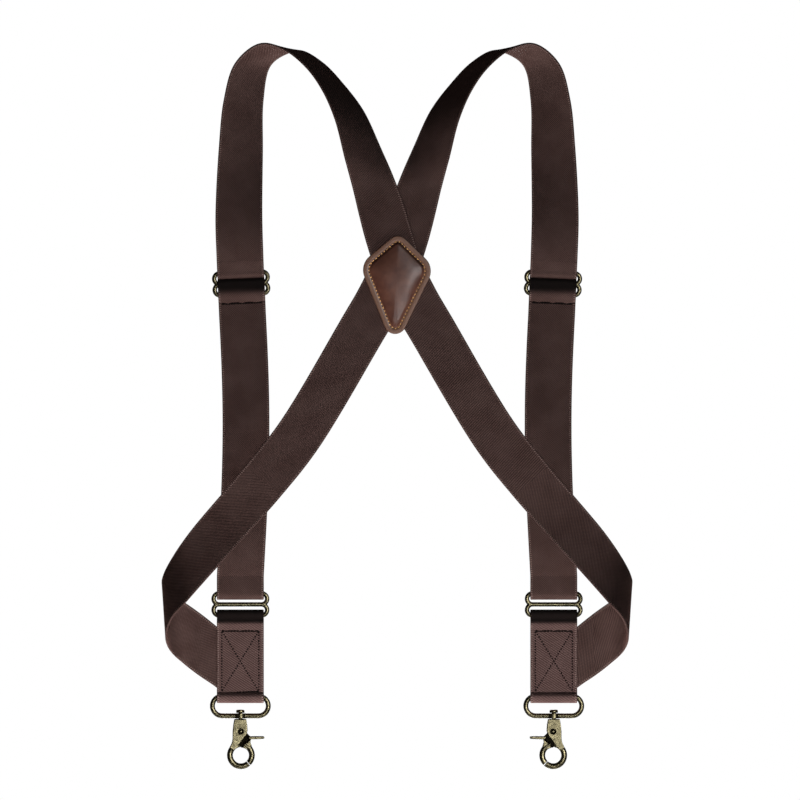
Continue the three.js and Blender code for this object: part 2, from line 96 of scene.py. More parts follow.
def add_node(tree, kind, links=None, **settings):
    """A node with its settings. links gives its inputs: a socket to join or a plain value."""
    node = tree.nodes.new(kind)
    for name, value in settings.items():
        setattr(node, name, value)
    for name, value in (links or {}).items():
        socket = node.inputs[name]
        if isinstance(value, bpy.types.NodeSocket):
            tree.links.new(value, socket)
        else:
            socket.default_value = value
    return node


# %% Room and soft boxes
bpy.context.scene.view_settings.view_transform = "Standard"
world = bpy.data.worlds.new("studio")
bpy.context.scene.world = world
world.use_nodes = True
room = world.node_tree
room.nodes.clear()
heading = add_node(room, "ShaderNodeTexCoord").outputs["Generated"]
height = add_node(room, "ShaderNodeSeparateXYZ", {0: heading}).outputs["Z"]
ramp = add_node(room, "ShaderNodeValToRGB", {0: add_node(
    room, "ShaderNodeMapRange", {0: height, 1: -1.0, 2: 0.6}).outputs[0]})
ramp.color_ramp.elements[0].color = linear("#b0aca8")
ramp.color_ramp.elements[1].color = linear("#1c1c1e")
dim = add_node(room, "ShaderNodeBackground", {"Color": ramp.outputs[0], "Strength": 0.2})
white = add_node(room, "ShaderNodeBackground", {"Color": linear("#ffffff"), "Strength": 1.0})
seen = add_node(room, "ShaderNodeLightPath").outputs["Is Camera Ray"]
mixed = add_node(room, "ShaderNodeMixShader", {0: seen, 1: dim.outputs[0], 2: white.outputs[0]})
add_node(room, "ShaderNodeOutputWorld", {0: mixed.outputs[0]})


def soft_box(name, place, target, size, watts, matt=True, glossy=True):
    """A light at place, turned to its target, that lights what is matt, glossy or both."""
    light = bpy.data.lights.new(name, "AREA")
    light.shape = "RECTANGLE"
    light.size, light.size_y = size
    light.energy = watts
    box = bpy.data.objects.new(name, light)
    bpy.context.scene.collection.objects.link(box)
    box.location = place
    box.rotation_euler = (Vector(target) - Vector(place)).to_track_quat("-Z", "Y").to_euler()
    box.visible_camera = False
    box.visible_diffuse = matt
    box.visible_glossy = glossy
    return box


middle = (0, 0, -0.28)
soft_box("low_front", (0.0, -0.6, -1.3), middle, (0.6, 0.4), 8, glossy=False)
fill = soft_box("low_front_fill", (0.0, -0.6, -1.3), middle, (0.6, 0.4), 19, glossy=False)
fill.data.use_shadow = False
soft_box("front_matt", (0.0, -2.6, -0.1), middle, (0.8, 0.8), 9, glossy=False)
soft_box("front_gloss", (0.0, -2.4, -1.7), middle, (0.35, 0.9), 9, matt=False)
soft_box("hook_gloss", (0.0, -2.6, -0.8), (0, 0, -0.5), (0.6, 0.3), 4, matt=False)
soft_box("right_gloss", (1.15, -2.4, -0.1), (0, 0, -0.17), (0.6, 1.6), 26, matt=False)
soft_box("low_back", (0.0, 0.6, -1.3), middle, (0.9, 0.4), 22, glossy=False)
soft_box("back", (0.0, 2.6, -0.3), middle, (0.7, 1.2), 10)
soft_box("back_gloss", (0.0, 2.4, -1.5), middle, (0.9, 0.6), 14, matt=False)

# %% Floor
FLOOR_HEIGHT = -1.4
bm = bmesh.new()
bmesh.ops.create_circle(bm, cap_ends=True, segments=96, radius=6.0)
bmesh.ops.translate(bm, vec=(0, 0, FLOOR_HEIGHT), verts=bm.verts)
floor_mesh = bpy.data.meshes.new("floor")
bm.to_mesh(floor_mesh)
bm.free()
floor = bpy.data.objects.new("floor", floor_mesh)
bpy.context.scene.collection.objects.link(floor)
paint = bpy.data.materials.new("pale_floor_paint")
paint.use_nodes = True
coat = paint.node_tree.nodes["Principled BSDF"]
coat.inputs["Base Color"].default_value = linear("#e6e4e0")
coat.inputs["Roughness"].default_value = 0.8
pale = add_node(paint.node_tree, "ShaderNodeEmission", {"Color": linear("#e9e7e3")})
seen = add_node(paint.node_tree, "ShaderNodeLightPath").outputs["Is Camera Ray"]
mixed = add_node(paint.node_tree, "ShaderNodeMixShader",
                 {0: seen, 1: coat.outputs[0], 2: pale.outputs[0]})
paint.node_tree.links.new(mixed.outputs[0],
                          paint.node_tree.nodes["Material Output"].inputs["Surface"])
floor_mesh.materials.append(paint)
print("room, soft boxes and floor ready")

# %% [markdown]
# ## Finishes
#
# Each finish starts from the real material. Patterns are measured in millimetres: webbing reads
# the strap's own unrolled map, in mm across and mm along, so its twill runs with the strap over
# every bend. Everything else reads Object coordinates, in metres, and is scaled by 1000.

# %% Common parts of a finish
def new_finish(name, **values):
    """A material with its Principled shader, and the shader's plain values set."""
    material = bpy.data.materials.new(name)
    material.use_nodes = True
    shader = material.node_tree.nodes["Principled BSDF"]
    for socket, value in values.items():
        shader.inputs[socket.replace("_", " ")].default_value = value
    return material, material.node_tree, shader


def arithmetic(tree, operation, a, b=0.5):
    """One sum of two sockets or numbers."""
    return add_node(tree, "ShaderNodeMath", {0: a, 1: b}, operation=operation).outputs[0]


def colour_between(tree, factor, low, high):
    """A colour that goes from low to high, each a hex colour or a socket."""
    ends = [linear(c) if isinstance(c, str) else c for c in (low, high)]
    mix = add_node(tree, "ShaderNodeMix", data_type="RGBA")
    for socket, value in zip((mix.inputs[0], mix.inputs[6], mix.inputs[7]), (factor, *ends)):
        if isinstance(value, bpy.types.NodeSocket):
            tree.links.new(value, socket)
        else:
            socket.default_value = value
    return mix.outputs[2]


def in_millimetres(tree):
    """Object coordinates in mm."""
    place = add_node(tree, "ShaderNodeTexCoord").outputs["Object"]
    return add_node(tree, "ShaderNodeVectorMath", {0: place, "Scale": 1000.0},
                    operation="SCALE").outputs[0]


# %% [markdown]
# **Elastic webbing.** Dyed polyester yarn over rubber cores, woven as a fine twill with a firm
# selvage. It is matt with a faint pinkish sheen where the light grazes the fibres. The face
# inside the loops and tabs is woven coarser than the other one, with flatter ribs.

# %% Elastic webbing
WEBBING_WIDTH = 35.0
PICK_SHARE = 0.9  # the bumps along a rib are this share of the ribs' own pitch apart
SELVAGE = 1.1  # mm from the edge to the row of light edge loops
LOOP_PITCH = 1.6  # mm between those loops
RIB_HEIGHT = 0.00018  # metres
FIBRE_SHEEN = "#c9968c"
FOLD_SHADE_COLOUR = "#100b0a"  # painted shade in deep folds that lie in shadow


def woven(name, pitch, slope, picks_deep, dark, mid, light):
    """A twill webbing finish: mm between ribs, degrees from straight across, three shades."""
    made, tree, shader = new_finish(
        name, Roughness=0.8, Sheen_Weight=0.12, Sheen_Roughness=0.45, Specular_IOR_Level=0.15)
    shader.inputs["Sheen Tint"].default_value = linear(FIBRE_SHEEN)
    unrolled = add_node(tree, "ShaderNodeUVMap", uv_map="unrolled").outputs[0]
    axes = add_node(tree, "ShaderNodeSeparateXYZ", {0: unrolled})
    u, v = axes.outputs[0], axes.outputs[1]

    def ribs(spacing, degrees):
        """Waves from 0 to 1 across lines at that slope."""
        turn = math.radians(degrees)
        a = arithmetic(tree, "MULTIPLY", u, 2 * math.pi / spacing * math.sin(turn))
        b = arithmetic(tree, "MULTIPLY", v, 2 * math.pi / spacing * math.cos(turn))
        wave = arithmetic(tree, "SINE", arithmetic(tree, "ADD", a, b))
        return add_node(tree, "ShaderNodeMath", {0: wave, 1: 0.5, 2: 0.5},
                        operation="MULTIPLY_ADD").outputs[0]

    twill = ribs(pitch, slope)
    picks = ribs(pitch * PICK_SHARE, -slope)
    yarn = arithmetic(tree, "MULTIPLY", twill, arithmetic(
        tree, "ADD", arithmetic(tree, "MULTIPLY", picks, picks_deep), 1 - picks_deep))
    from_edge = arithmetic(tree, "SUBTRACT", WEBBING_WIDTH / 2, arithmetic(tree, "ABSOLUTE", u))
    off_loops = arithmetic(tree, "ABSOLUTE", arithmetic(tree, "SUBTRACT", from_edge, SELVAGE))
    loop_row = add_node(tree, "ShaderNodeMapRange", {0: off_loops, 1: 0.75, 2: 0.3}).outputs[0]
    beat = arithmetic(tree, "SINE", arithmetic(tree, "MULTIPLY", v, 2 * math.pi / LOOP_PITCH))
    loops = arithmetic(tree, "MULTIPLY", loop_row, add_node(
        tree, "ShaderNodeMapRange", {0: beat, 1: -0.2, 2: 0.6}).outputs[0])
    scaled = add_node(tree, "ShaderNodeVectorMath", {0: unrolled, "Scale": 0.05},
                      operation="SCALE").outputs[0]
    cloud = add_node(tree, "ShaderNodeTexNoise", {"Vector": scaled, "Scale": 1.0, "Detail": 3.0})
    fuzz = add_node(tree, "ShaderNodeTexNoise", {"Vector": unrolled, "Scale": 1.4, "Detail": 2.0})
    shade = arithmetic(tree, "ADD", yarn, arithmetic(
        tree, "MULTIPLY", arithmetic(tree, "SUBTRACT", fuzz.outputs[0], 0.5), 0.6))
    body = colour_between(tree, add_node(
        tree, "ShaderNodeMapRange", {0: shade, 1: 0.0, 2: 0.9}).outputs[0], dark, mid)
    faded = colour_between(tree, arithmetic(
        tree, "MULTIPLY", arithmetic(tree, "SUBTRACT", cloud.outputs[0], 0.35), 0.2), body, light)
    groove = colour_between(tree, arithmetic(tree, "MULTIPLY", loop_row, 0.45), faded, dark)
    edged = colour_between(tree, arithmetic(tree, "MULTIPLY", loops, 0.6), groove, light)
    # Painted shade: a vertex attribute darkens the weave to near black in deep folds that lie in
    # shadow.
    painted_fold_shade = add_node(tree, "ShaderNodeAttribute", attribute_name="painted_fold_shade").outputs["Fac"]
    shaded = colour_between(tree, painted_fold_shade, edged, FOLD_SHADE_COLOUR)
    tree.links.new(shaded, shader.inputs["Base Color"])
    relief = arithmetic(tree, "ADD", yarn, arithmetic(tree, "MULTIPLY", loops, 1.2))
    bump = add_node(tree, "ShaderNodeBump", {"Height": relief, "Distance": RIB_HEIGHT,
                                             "Strength": 0.8})
    tree.links.new(bump.outputs[0], shader.inputs["Normal"])
    return made


webbing_finish = woven(
    "elastic_polyester_twill", 1.15, 42, 0.6, "#221715", "#4d3935", "#846d67")
ribbed_finish = woven(
    "elastic_polyester_ribbed_twill", 1.5, -33, 0.5, "#332422", "#574340", "#8b756f")

# %% [markdown]
# **Leather.** Vegetable-tanned hide, pressed to a dome and given a wax polish. Its rim is
# thinner and greyer where it is skived, and the cut edge is painted dark. The polish is a clear
# coat over a rougher grain, so the dome shows one soft band of light, on its right.

# %% Leather, lining and board
def leather(name, deep, main, rim, edge, roughness, coat):
    """A hide with fine grain. The piece's attribute "rim" is 0 on the dome and 1 on the edge."""
    made, tree, shader = new_finish(name, Roughness=roughness, Coat_Weight=coat,
                                    Coat_Roughness=0.3, Specular_IOR_Level=0.2)
    place = in_millimetres(tree)
    mottle = add_node(tree, "ShaderNodeTexNoise", {"Vector": place, "Scale": 0.16, "Detail": 4.0})
    pores = add_node(tree, "ShaderNodeTexVoronoi", {"Vector": place, "Scale": 2.2})
    creases = add_node(tree, "ShaderNodeTexNoise", {"Vector": place, "Scale": 1.1, "Detail": 5.0})
    hide = colour_between(tree, add_node(
        tree, "ShaderNodeMapRange", {0: mottle.outputs[0], 1: 0.3, 2: 0.7}).outputs[0], deep, main)
    worn = add_node(tree, "ShaderNodeAttribute", attribute_name="rim").outputs["Fac"]
    on_rim = add_node(tree, "ShaderNodeMapRange", {0: worn, 1: 0.15, 2: 0.4}).outputs[0]
    on_edge = add_node(tree, "ShaderNodeMapRange", {0: worn, 1: 0.8, 2: 0.97}).outputs[0]
    speck = add_node(tree, "ShaderNodeMapRange", {0: creases.outputs[0], 1: 0.35, 2: 0.7})
    greyed = colour_between(tree, arithmetic(
        tree, "MULTIPLY", speck.outputs[0], 0.35), rim, main)
    coloured = colour_between(tree, on_rim, hide, greyed)
    finished = colour_between(tree, on_edge, coloured, edge)
    tree.links.new(finished, shader.inputs["Base Color"])
    grain = arithmetic(tree, "ADD", pores.outputs[0], creases.outputs[0])
    bump = add_node(tree, "ShaderNodeBump", {"Height": grain, "Distance": 0.00006,
                                             "Strength": 0.35})
    tree.links.new(bump.outputs[0], shader.inputs["Normal"])
    return made


leather_finish = leather(
    "waxed_vegetable_tanned_leather", "#452820", "#58372b", "#664838", "#2c1b15", 0.5, 0.7)
lining_finish = leather(
    "split_leather_lining", "#33241d", "#45322a", "#43322b", "#221712", 0.8, 0.0)
board_finish = leather(
    "pressed_fibre_board", "#6d5a42", "#8a7458", "#7d6a50", "#5c4b38", 0.9, 0.0)

# %% [markdown]
# **Thread.** Bonded polyester of three plies. The plies wind round the thread, so fine slanted
# bands run over each stitch.

# %% Sewing thread
def thread(name, dark, light, specular):
    """A twisted thread in two shades."""
    made, tree, shader = new_finish(name, Roughness=0.6, Specular_IOR_Level=specular)
    place = in_millimetres(tree)
    twist = add_node(tree, "ShaderNodeTexWave", {"Vector": place, "Scale": 0.9,
                                                 "Distortion": 0.6}, bands_direction="DIAGONAL")
    tree.links.new(colour_between(tree, twist.outputs[1], dark, light),
                   shader.inputs["Base Color"])
    bump = add_node(tree, "ShaderNodeBump", {"Height": twist.outputs[1], "Distance": 0.0001,
                                             "Strength": 0.6})
    tree.links.new(bump.outputs[0], shader.inputs["Normal"])
    return made


gold_thread_finish = thread("gold_bonded_thread", "#96602f", "#e3b27a", 0.5)
# Painted shade: this near-black serves real stitches and also the shade of needle holes and cut
# ends.
dark_thread_and_shade_finish = thread("dark_thread_and_painted_shade", "#060404", "#150f0d", 0.05)

# %% [markdown]
# ** Antique brass.** Plated brass is blackened in a bath and then rubbed back. Black stays in
# hollows and corners, and the metal shines through on what a cloth can reach. Ambient occlusion
# finds those hollows, and a soft noise leaves the rubbing uneven. A vertex attribute turns full
# black what no cloth reaches and what lies in deep shade, such as the hook's slot and the groove
# round the trigger's rivet: oxide there, and painted shade as well.

# %% Antique brass and spring steel
def rubbed_metal(name, black, patina, bright, roughness):
    """A metal with a dark patina that is rubbed off its high places."""
    made, tree, shader = new_finish(name, Metallic=1.0)
    place = in_millimetres(tree)
    patches = add_node(tree, "ShaderNodeTexNoise", {"Vector": place, "Scale": 0.45, "Detail": 6.0})
    scratches = add_node(tree, "ShaderNodeTexNoise", {"Vector": place, "Scale": 3.5,
                                                      "Detail": 3.0})
    open_air = add_node(tree, "ShaderNodeAmbientOcclusion", {"Distance": 0.0032}, samples=8)
    rubbed = arithmetic(tree, "MULTIPLY", add_node(tree, "ShaderNodeMapRange", {
        0: open_air.outputs["AO"], 1: 0.45, 2: 0.95}).outputs[0], add_node(
            tree, "ShaderNodeMapRange", {0: patches.outputs[0], 1: 0.3, 2: 0.7,
                                         3: 0.55, 4: 1.0}).outputs[0])
    # Oxide and painted shade: the attribute turns the slot and the rivet's groove full black.
    oxide_and_shade = add_node(tree, "ShaderNodeAttribute", attribute_name="oxide_and_shade").outputs["Fac"]
    body = colour_between(tree, arithmetic(
        tree, "MULTIPLY", rubbed, arithmetic(tree, "SUBTRACT", 1.0, oxide_and_shade)), black, patina)
    worn = colour_between(tree, arithmetic(tree, "MULTIPLY", add_node(
        tree, "ShaderNodeMapRange", {0: scratches.outputs[0], 1: 0.4, 2: 0.8, 4: 0.6}).outputs[0],
        rubbed), body, bright)
    worn = colour_between(tree, oxide_and_shade, worn, black)
    tree.links.new(worn, shader.inputs["Base Color"])
    gloss = add_node(tree, "ShaderNodeMapRange", {0: patches.outputs[0], 1: 0.3, 2: 0.7,
                                                  3: roughness + 0.1, 4: roughness - 0.06})
    tree.links.new(gloss.outputs[0], shader.inputs["Roughness"])
    bump = add_node(tree, "ShaderNodeBump", {"Height": scratches.outputs[0],
                                             "Distance": 0.00003, "Strength": 0.15})
    tree.links.new(bump.outputs[0], shader.inputs["Normal"])
    return made


brass_finish = rubbed_metal("antique_brass", "#0f0d08", "#8a8264", "#cfc49c", 0.25)
steel_finish = rubbed_metal("spring_steel", "#3a3a3c", "#8d8d8d", "#b5b5b8", 0.3)
print(len(bpy.data.materials), "finishes")

# %% [markdown]
# ## Tools for building
#
# A strap, a wire and a stitch are all one section that travels along a line. The section's ring
# of edges is extruded from station to station with extrude_edge_only, which keeps the mesh one
# clean shell of quads, and then the ends are capped, or bridged into a loop.

# %% Sweep a section
def sweep(bm, rings, closed=False):
    """Extrudes the first ring of points through all the others. Returns the vertices by ring."""
    made = [[bm.verts.new(p) for p in rings[0]]]
    edges = [bm.edges.new((made[0][i - 1], made[0][i])) for i in range(len(rings[0]))]
    first_edges = edges
    for ring in rings[1:]:
        grown = bmesh.ops.extrude_edge_only(bm, edges=edges)["geom"]
        fresh = {g for g in grown if isinstance(g, bmesh.types.BMVert)}
        row = []
        for old in made[-1]:
            row.append(next(e.other_vert(old) for e in old.link_edges
                            if e.other_vert(old) in fresh))
        for vert, point in zip(row, ring):
            vert.co = point
        edges = [g for g in grown if isinstance(g, bmesh.types.BMEdge)]
        made.append(row)
    if closed:
        bmesh.ops.bridge_loops(bm, edges=first_edges + edges)
    else:
        for rim in (first_edges, edges):
            bmesh.ops.contextual_create(bm, geom=rim)
    return made


def blacken(bm, hollow):
    """Marks the vertices, in mm, for which hollow is true as black: oxide and painted shade."""
    layer = bm.verts.layers.float.new("oxide_and_shade")
    for vert in bm.verts:
        vert[layer] = 1.0 if hollow(vert.co) else 0.0


def finish_piece(name, bm, finish, smooth_angle=40):
    """The bmesh, in mm, as an object in metres with its finish, its faces pointing out."""
    bmesh.ops.scale(bm, vec=(MM, MM, MM), verts=bm.verts)
    bmesh.ops.recalc_face_normals(bm, faces=bm.faces)
    for edge in bm.edges:
        edge.smooth = edge.calc_face_angle(0) < math.radians(smooth_angle)
    for face in bm.faces:
        face.smooth = True
    data = bpy.data.meshes.new(name)
    bm.to_mesh(data)
    bm.free()
    data.materials.append(finish)
    piece = bpy.data.objects.new(name, data)
    bpy.context.scene.collection.objects.link(piece)
    return piece


# %% [markdown]
# ## Webbing
#
# A real strap has constant width and thickness, and only bends. So each one is swept from pairs
# of edge points, with a thin section whose two edges are round. While the edges are walked,
# their lengths are added up: that unrolls the strap, and gives each vertex its place in mm
# across and along, which the weave reads.

# %% A strap from its stations
THICKNESS = 1.3
ACROSS_STEPS = 10  # quads across a face of the strap


def strap_section():
    """The strap's section as (across, up) pairs, from -1 to 1, going once round it."""
    inner = 1 - 0.45 * THICKNESS / WEBBING_WIDTH
    flat = [inner * (2 * i / ACROSS_STEPS - 1) for i in range(ACROSS_STEPS + 1)]
    side = [(0.985, 0.75), (1.0, 0.0), (0.985, -0.75)]
    top = [(a, 1.0) for a in flat]
    under = [(-a, -1.0) for a in flat]
    return top + side + under + [(-a, -h) for a, h in side]


def strap_mesh(bm, stations, start=0.0, thickness=THICKNESS, painted_fold_shade=None):
    """A strap through stations, each a point of its near and its far edge. Returns its length.

    The last argument gives, for a height in mm, how much painted shade darkens it, 0 to 1."""
    section = strap_section()
    rings, unrolled = [], []
    middles = [(near + far) / 2 for near, far in stations]
    first = (middles[1] - middles[0]).normalized()
    walked = [start, start + first.dot(stations[0][1] - stations[0][0])]
    for i, (near, far) in enumerate(stations):
        along = middles[min(i + 1, len(middles) - 1)] - middles[max(i - 1, 0)]
        up = along.cross(far - near).normalized() * thickness / 2
        middle, reach = middles[i], (far - near) / 2
        if i:
            for side in (0, 1):
                walked[side] += (stations[i][side] - stations[i - 1][side]).length
        rings.append([middle + reach * a + up * h for a, h in section])
        unrolled.append([(a * WEBBING_WIDTH / 2,
                          walked[0] + (walked[1] - walked[0]) * (a + 1) / 2)
                         for a, _ in section])
    # Painted shade: each vertex keeps how much its fold is darkened, by height, where it lies in
    # shadow.
    shade = bm.verts.layers.float.new("painted_fold_shade")
    layer = bm.loops.layers.uv.new("unrolled")
    for row, line in zip(sweep(bm, rings), unrolled):
        for vert, place in zip(row, line):
            vert[shade] = painted_fold_shade(vert.co.z) if painted_fold_shade else 0.0
            for loop in vert.link_loops:
                loop[layer].uv = place
    return sum(walked) / 2 - start


def fading(full, none):
    """A function of height that is 1 at full and beyond, 0 at none, and smooth between."""
    def share(z):
        t = min(max((z - none) / (full - none), 0.0), 1.0)
        return t * t * (3 - 2 * t)
    return share


def strap(name, stations, start=0.0, finish=webbing_finish, painted_fold_shade=None):
    """A webbing piece from its stations. Returns it, the flat cut in metres, and its end."""
    bm = bmesh.new()
    length = strap_mesh(bm, stations, start, painted_fold_shade=painted_fold_shade)
    piece = finish_piece(name, bm, finish)
    print(f"{name}: {WEBBING_WIDTH:.0f} x {length:.0f} mm, {len(piece.data.polygons)} faces")
    cut = (WEBBING_WIDTH * MM, max(length, 10) * MM)
    return piece, cut, start + length


# %% [markdown]
# ## The straps' routes
#
# A strap that hangs follows gravity and the body, which no formula gives, so its route is a
# short list of stations: the middle of the strap, and the way from its near to its far edge.
# Smooth curves join the edges. The two sides are mirror images, apart from which strap lies on
# top at the crossing.

# %% Sizes that the routes share
GAP = 0.3
HALF = THICKNESS / 2
FRONT_X, FRONT_Y, BACK_Y = 117.0, 22.0, -21.0
ADJUSTER_Z, LOWER_SLIDE_Z, CROSS_Z = -176.7, -416.3, -165.0
LEAN = math.radians(2.4)
SLIDE_WIRE, SLIDE_LOBE, SLIDE_SPAN = 1.7, 4.15, 40.0
LOOP_WIRE, LOOP_LOBE, LOOP_SPAN = 1.88, 7.4, 41.8
SLIDE_PITCH = 2 * SLIDE_LOBE
TAB_LENGTH = 60.1
TAB_TOP_Z = LOWER_SLIDE_Z - SLIDE_PITCH
LOOP_BAR_Z = TAB_TOP_Z - TAB_LENGTH
LOOP_BOTTOM_Z = LOOP_BAR_Z - 2 * LOOP_LOBE
HIP_X = FRONT_X + WEBBING_WIDTH / 2 + 38.9
HIP_Z = LOWER_SLIDE_Z - 4.2
LAP_HALF = HALF + GAP / 2


def wire_reach(lobe, span, wire):
    """How far a frame's wire comes in under the webbing's edge, from the bar's axis."""
    past = max(0.0, WEBBING_WIDTH / 2 - (span / 2 - lobe))
    inner = lobe - wire
    return lobe - math.sqrt(inner**2 - min(past, 0.9 * inner) ** 2)


BAR_RADIUS = wire_reach(SLIDE_LOBE, SLIDE_SPAN, SLIDE_WIRE) + GAP + HALF
TAB_TOP_RADIUS = BAR_RADIUS + 0.1
FOLD_RADIUS = BAR_RADIUS + 0.9
TAB_BOTTOM_RADIUS = wire_reach(LOOP_LOBE, LOOP_SPAN, LOOP_WIRE) + GAP + HALF + 0.1
WOVEN_RADIUS = BAR_RADIUS + THICKNESS + GAP
WOVEN_TOP, WOVEN_BOTTOM = SLIDE_PITCH + 8.4, -23.3
FOLD_TOP_Z = LOWER_SLIDE_Z + SLIDE_PITCH + 13
print(f"webbing turns round bars at {BAR_RADIUS:.2f} to {TAB_BOTTOM_RADIUS:.2f} mm")


# %% Route helpers
def across(middle, reach):
    """A station: the near and the far edge point of the strap."""
    middle, reach = Vector(middle), Vector(reach) * WEBBING_WIDTH / 2
    return middle - reach, middle + reach


def in_adjuster(y, z):
    """A point on the adjuster's own upright middle line, in the row frame."""
    return Vector((-FRONT_X + 0.6 - z * math.sin(LEAN), FRONT_Y + y,
                   ADJUSTER_Z + z * math.cos(LEAN)))


def on_curve(points, t):
    """The point at t, counted in points, on a centripetal Catmull-Rom curve."""
    i = min(int(t), len(points) - 2)
    f = t - i
    b, c = points[i], points[i + 1]
    a = points[i - 1] if i > 0 else 2 * b - c
    d = points[i + 2] if i + 2 < len(points) else 2 * c - b
    ab, bc, cd = ((q - p).length ** 0.5 for p, q in ((a, b), (b, c), (c, d)))
    leave = ((b - a) / ab - (c - a) / (ab + bc) + (c - b) / bc) * bc
    arrive = ((c - b) / bc - (d - b) / (bc + cd) + (d - c) / cd) * bc
    return (b * (2 * f**3 - 3 * f**2 + 1) + leave * (f**3 - 2 * f**2 + f)
            + c * (3 * f**2 - 2 * f**3) + arrive * (f**3 - f**2))


def arc(y, z, radius, start, end, steps=12):
    """Points of an arc in the plane of y and z, in degrees from +Y towards +Z."""
    turns = [math.radians(start + (end - start) * i / steps) for i in range(steps + 1)]
    return [(y + radius * math.cos(a), z + radius * math.sin(a)) for a in turns]


def bent_strap(path, place=Matrix.Identity(4), half_width=WEBBING_WIDTH / 2):
    """Stations of a strap whose middle line lies in a plane of constant x."""
    return [(place @ Vector((-half_width, y, z)), place @ Vector((half_width, y, z)))
            for y, z in path]


def spaced(path, step=1.5):
    """A path of (y, z) points with more points between them, on straight lines."""
    fine = [path[0]]
    for (y0, z0), (y1, z1) in zip(path, path[1:]):
        count = max(1, round(math.hypot(y1 - y0, z1 - z0) / step))
        fine += [(y0 + (y1 - y0) * i / count, z0 + (z1 - z0) * i / count)
                 for i in range(1, count + 1)]
    return fine


def mirrored(stations):
    """The same strap on the wearer's other side. Near and far change places too."""
    return [tuple(Vector((-p.x, p.y, p.z)) for p in (far, near)) for near, far in stations]


# %% The long strap's route
FLAT_ABOVE = 1.8 * WEBBING_WIDTH
TILT_ABOVE = 2.42 * WEBBING_WIDTH
TUCK_SLANT = 1.31
TUCK_Z = LOWER_SLIDE_Z - 7.3 - TUCK_SLANT * WEBBING_WIDTH / 2
FRONT_TOP = -76.0
TOP_OF_WOVEN = in_adjuster(-BAR_RADIUS, WOVEN_TOP)
FRONT_END, HIP_START, HIP_END, ROUTE_END = 4, 18, 25, 27


def slant_x(above):
    """Where the strap's middle is at a height above the crossing."""
    return 4.3 - 0.352 * above


def route(layer):
    """Stations from the left adjuster over the back into the right tab."""
    cross_y = BACK_Y + layer
    x = -FRONT_X
    return [
        across(TOP_OF_WOVEN, (1, 0, 0.04)),
        across((x - 1, FRONT_Y - 1.2, (TOP_OF_WOVEN.z + FRONT_TOP) / 2 - 8), (1, 0.1, 0.02)),
        across((x + 0.4, FRONT_Y - 2, FRONT_TOP), (0.94, 0.34, 0)),
        across((x + 2.5, FRONT_Y - 4.5, -40), (0.84, 0.54, 0)),
        across((x + 9.1, 11.5, -14.1), (0.737, 0.67, -0.05)),
        across((x + 24, 0.5, -2.4), (0.511, 0.834, -0.209)),
        across((x + 39, -6.5, -3.2), (0.355, 0.94, -0.011)),
        across((x + 55.6, -12.5, -14.6), (0.35, 0.929, 0.109)),
        across((x + 69.2, -16.5, -31), (0.44, 0.866, 0.143)),
        across((x + 81.4, -19.5, -51.9), (0.6, 0.706, 0.2)),
        across((slant_x(TILT_ABOVE), cross_y, CROSS_Z + TILT_ABOVE), (0.75, 0.4, 0.29)),
        across((slant_x(FLAT_ABOVE), cross_y, CROSS_Z + FLAT_ABOVE), (0.86, 0.02, 0.28)),
        across((-10.8, cross_y, CROSS_Z + 39.8), (0.95, 0, 0.27)),
        across((-6, cross_y, CROSS_Z + 22.7), (0.955, 0, 0.3)),
        across((1.5, cross_y, CROSS_Z + 0.2), (0.911, 0, 0.411)),
        across((13.2, cross_y, CROSS_Z - 24.5), (0.866, 0, 0.509)),
        across((25.3, cross_y, CROSS_Z - 45.2), (0.863, 0, 0.506)),
        across((HIP_X - 101.2, BACK_Y + layer / 2, HIP_Z + 131.5), (0.79, 0, 0.61)),
        across((HIP_X - 73.7, BACK_Y + 0.5, HIP_Z + 96.3), (0.76, 0.05, 0.64)),
        across((HIP_X - 30.1, BACK_Y + 3, HIP_Z + 46.2), (0.64, 0.2, 0.69)),
        across((HIP_X - 12.2, BACK_Y + 6, HIP_Z + 24.4), (0.24, 0.1, 1.03)),
        across((HIP_X - 2.9, BACK_Y + 12.5, HIP_Z + 11), (0.157, 0.143, 0.969)),
        across((HIP_X, BACK_Y + 21.5, HIP_Z), (0.086, 0.03, 1.149)),
        across((HIP_X - 3.9, FRONT_Y - 12.5, HIP_Z - 9), (0.06, 0.04, 1.257)),
        across((HIP_X - 14.6, FRONT_Y - 5, HIP_Z - 17.2), (-0.046, 0.043, 1.297)),
        across((HIP_X - 26.4, FRONT_Y - 1, TUCK_Z), (-0.05, 0.01, TUCK_SLANT)),
        across((HIP_X - 38.2, FRONT_Y, TUCK_Z - 8.7), (0, 0, TUCK_SLANT)),
        across((HIP_X - 68.2, FRONT_Y, TUCK_Z - 34.1), (0, 0, TUCK_SLANT)),
    ]


# Where the strap turns round the hip it tilts: (station, degrees that its face looks up).
HIP_TILT = [(18, 0), (19.2, 14), (20.4, 32), (22, 28), (23.2, -6), (24, -14), (25, 0)]


def tilted(pair, t):
    """The two edge points at t, turned about the strap's middle line as the hip tilts it."""
    if not HIP_TILT[0][0] <= t < HIP_TILT[-1][0]:
        return pair
    i = max(k for k, (at, _) in enumerate(HIP_TILT) if at <= t)
    (t0, before), (t1, after) = HIP_TILT[i], HIP_TILT[i + 1]
    share = (t - t0) / (t1 - t0)
    slope = math.tan(math.radians(before + (after - before) * share * share * (3 - 2 * share)))
    middle = (pair[0] + pair[1]) / 2
    return tuple(p + Vector((0, slope * (p.z - middle.z), 0)) for p in pair)


def route_piece(layer, first, last, step=2.0):
    """Fine stations of the route from one of its stations to another, about step mm apart."""
    stations = route(layer)
    edges = [[s[side] for s in stations] for side in (0, 1)]
    fine = []
    for i in range(first, last):
        count = max(2, round(max((e[i + 1] - e[i]).length for e in edges) / step))
        fine += [tilted([on_curve(e, i + k / count) for e in edges], i + k / count)
                 for k in range(count)]
    return fine + [[on_curve(e, last) for e in edges]]


print(len(route(0)), "stations,", len(route_piece(0, 0, ROUTE_END)), "when fine")
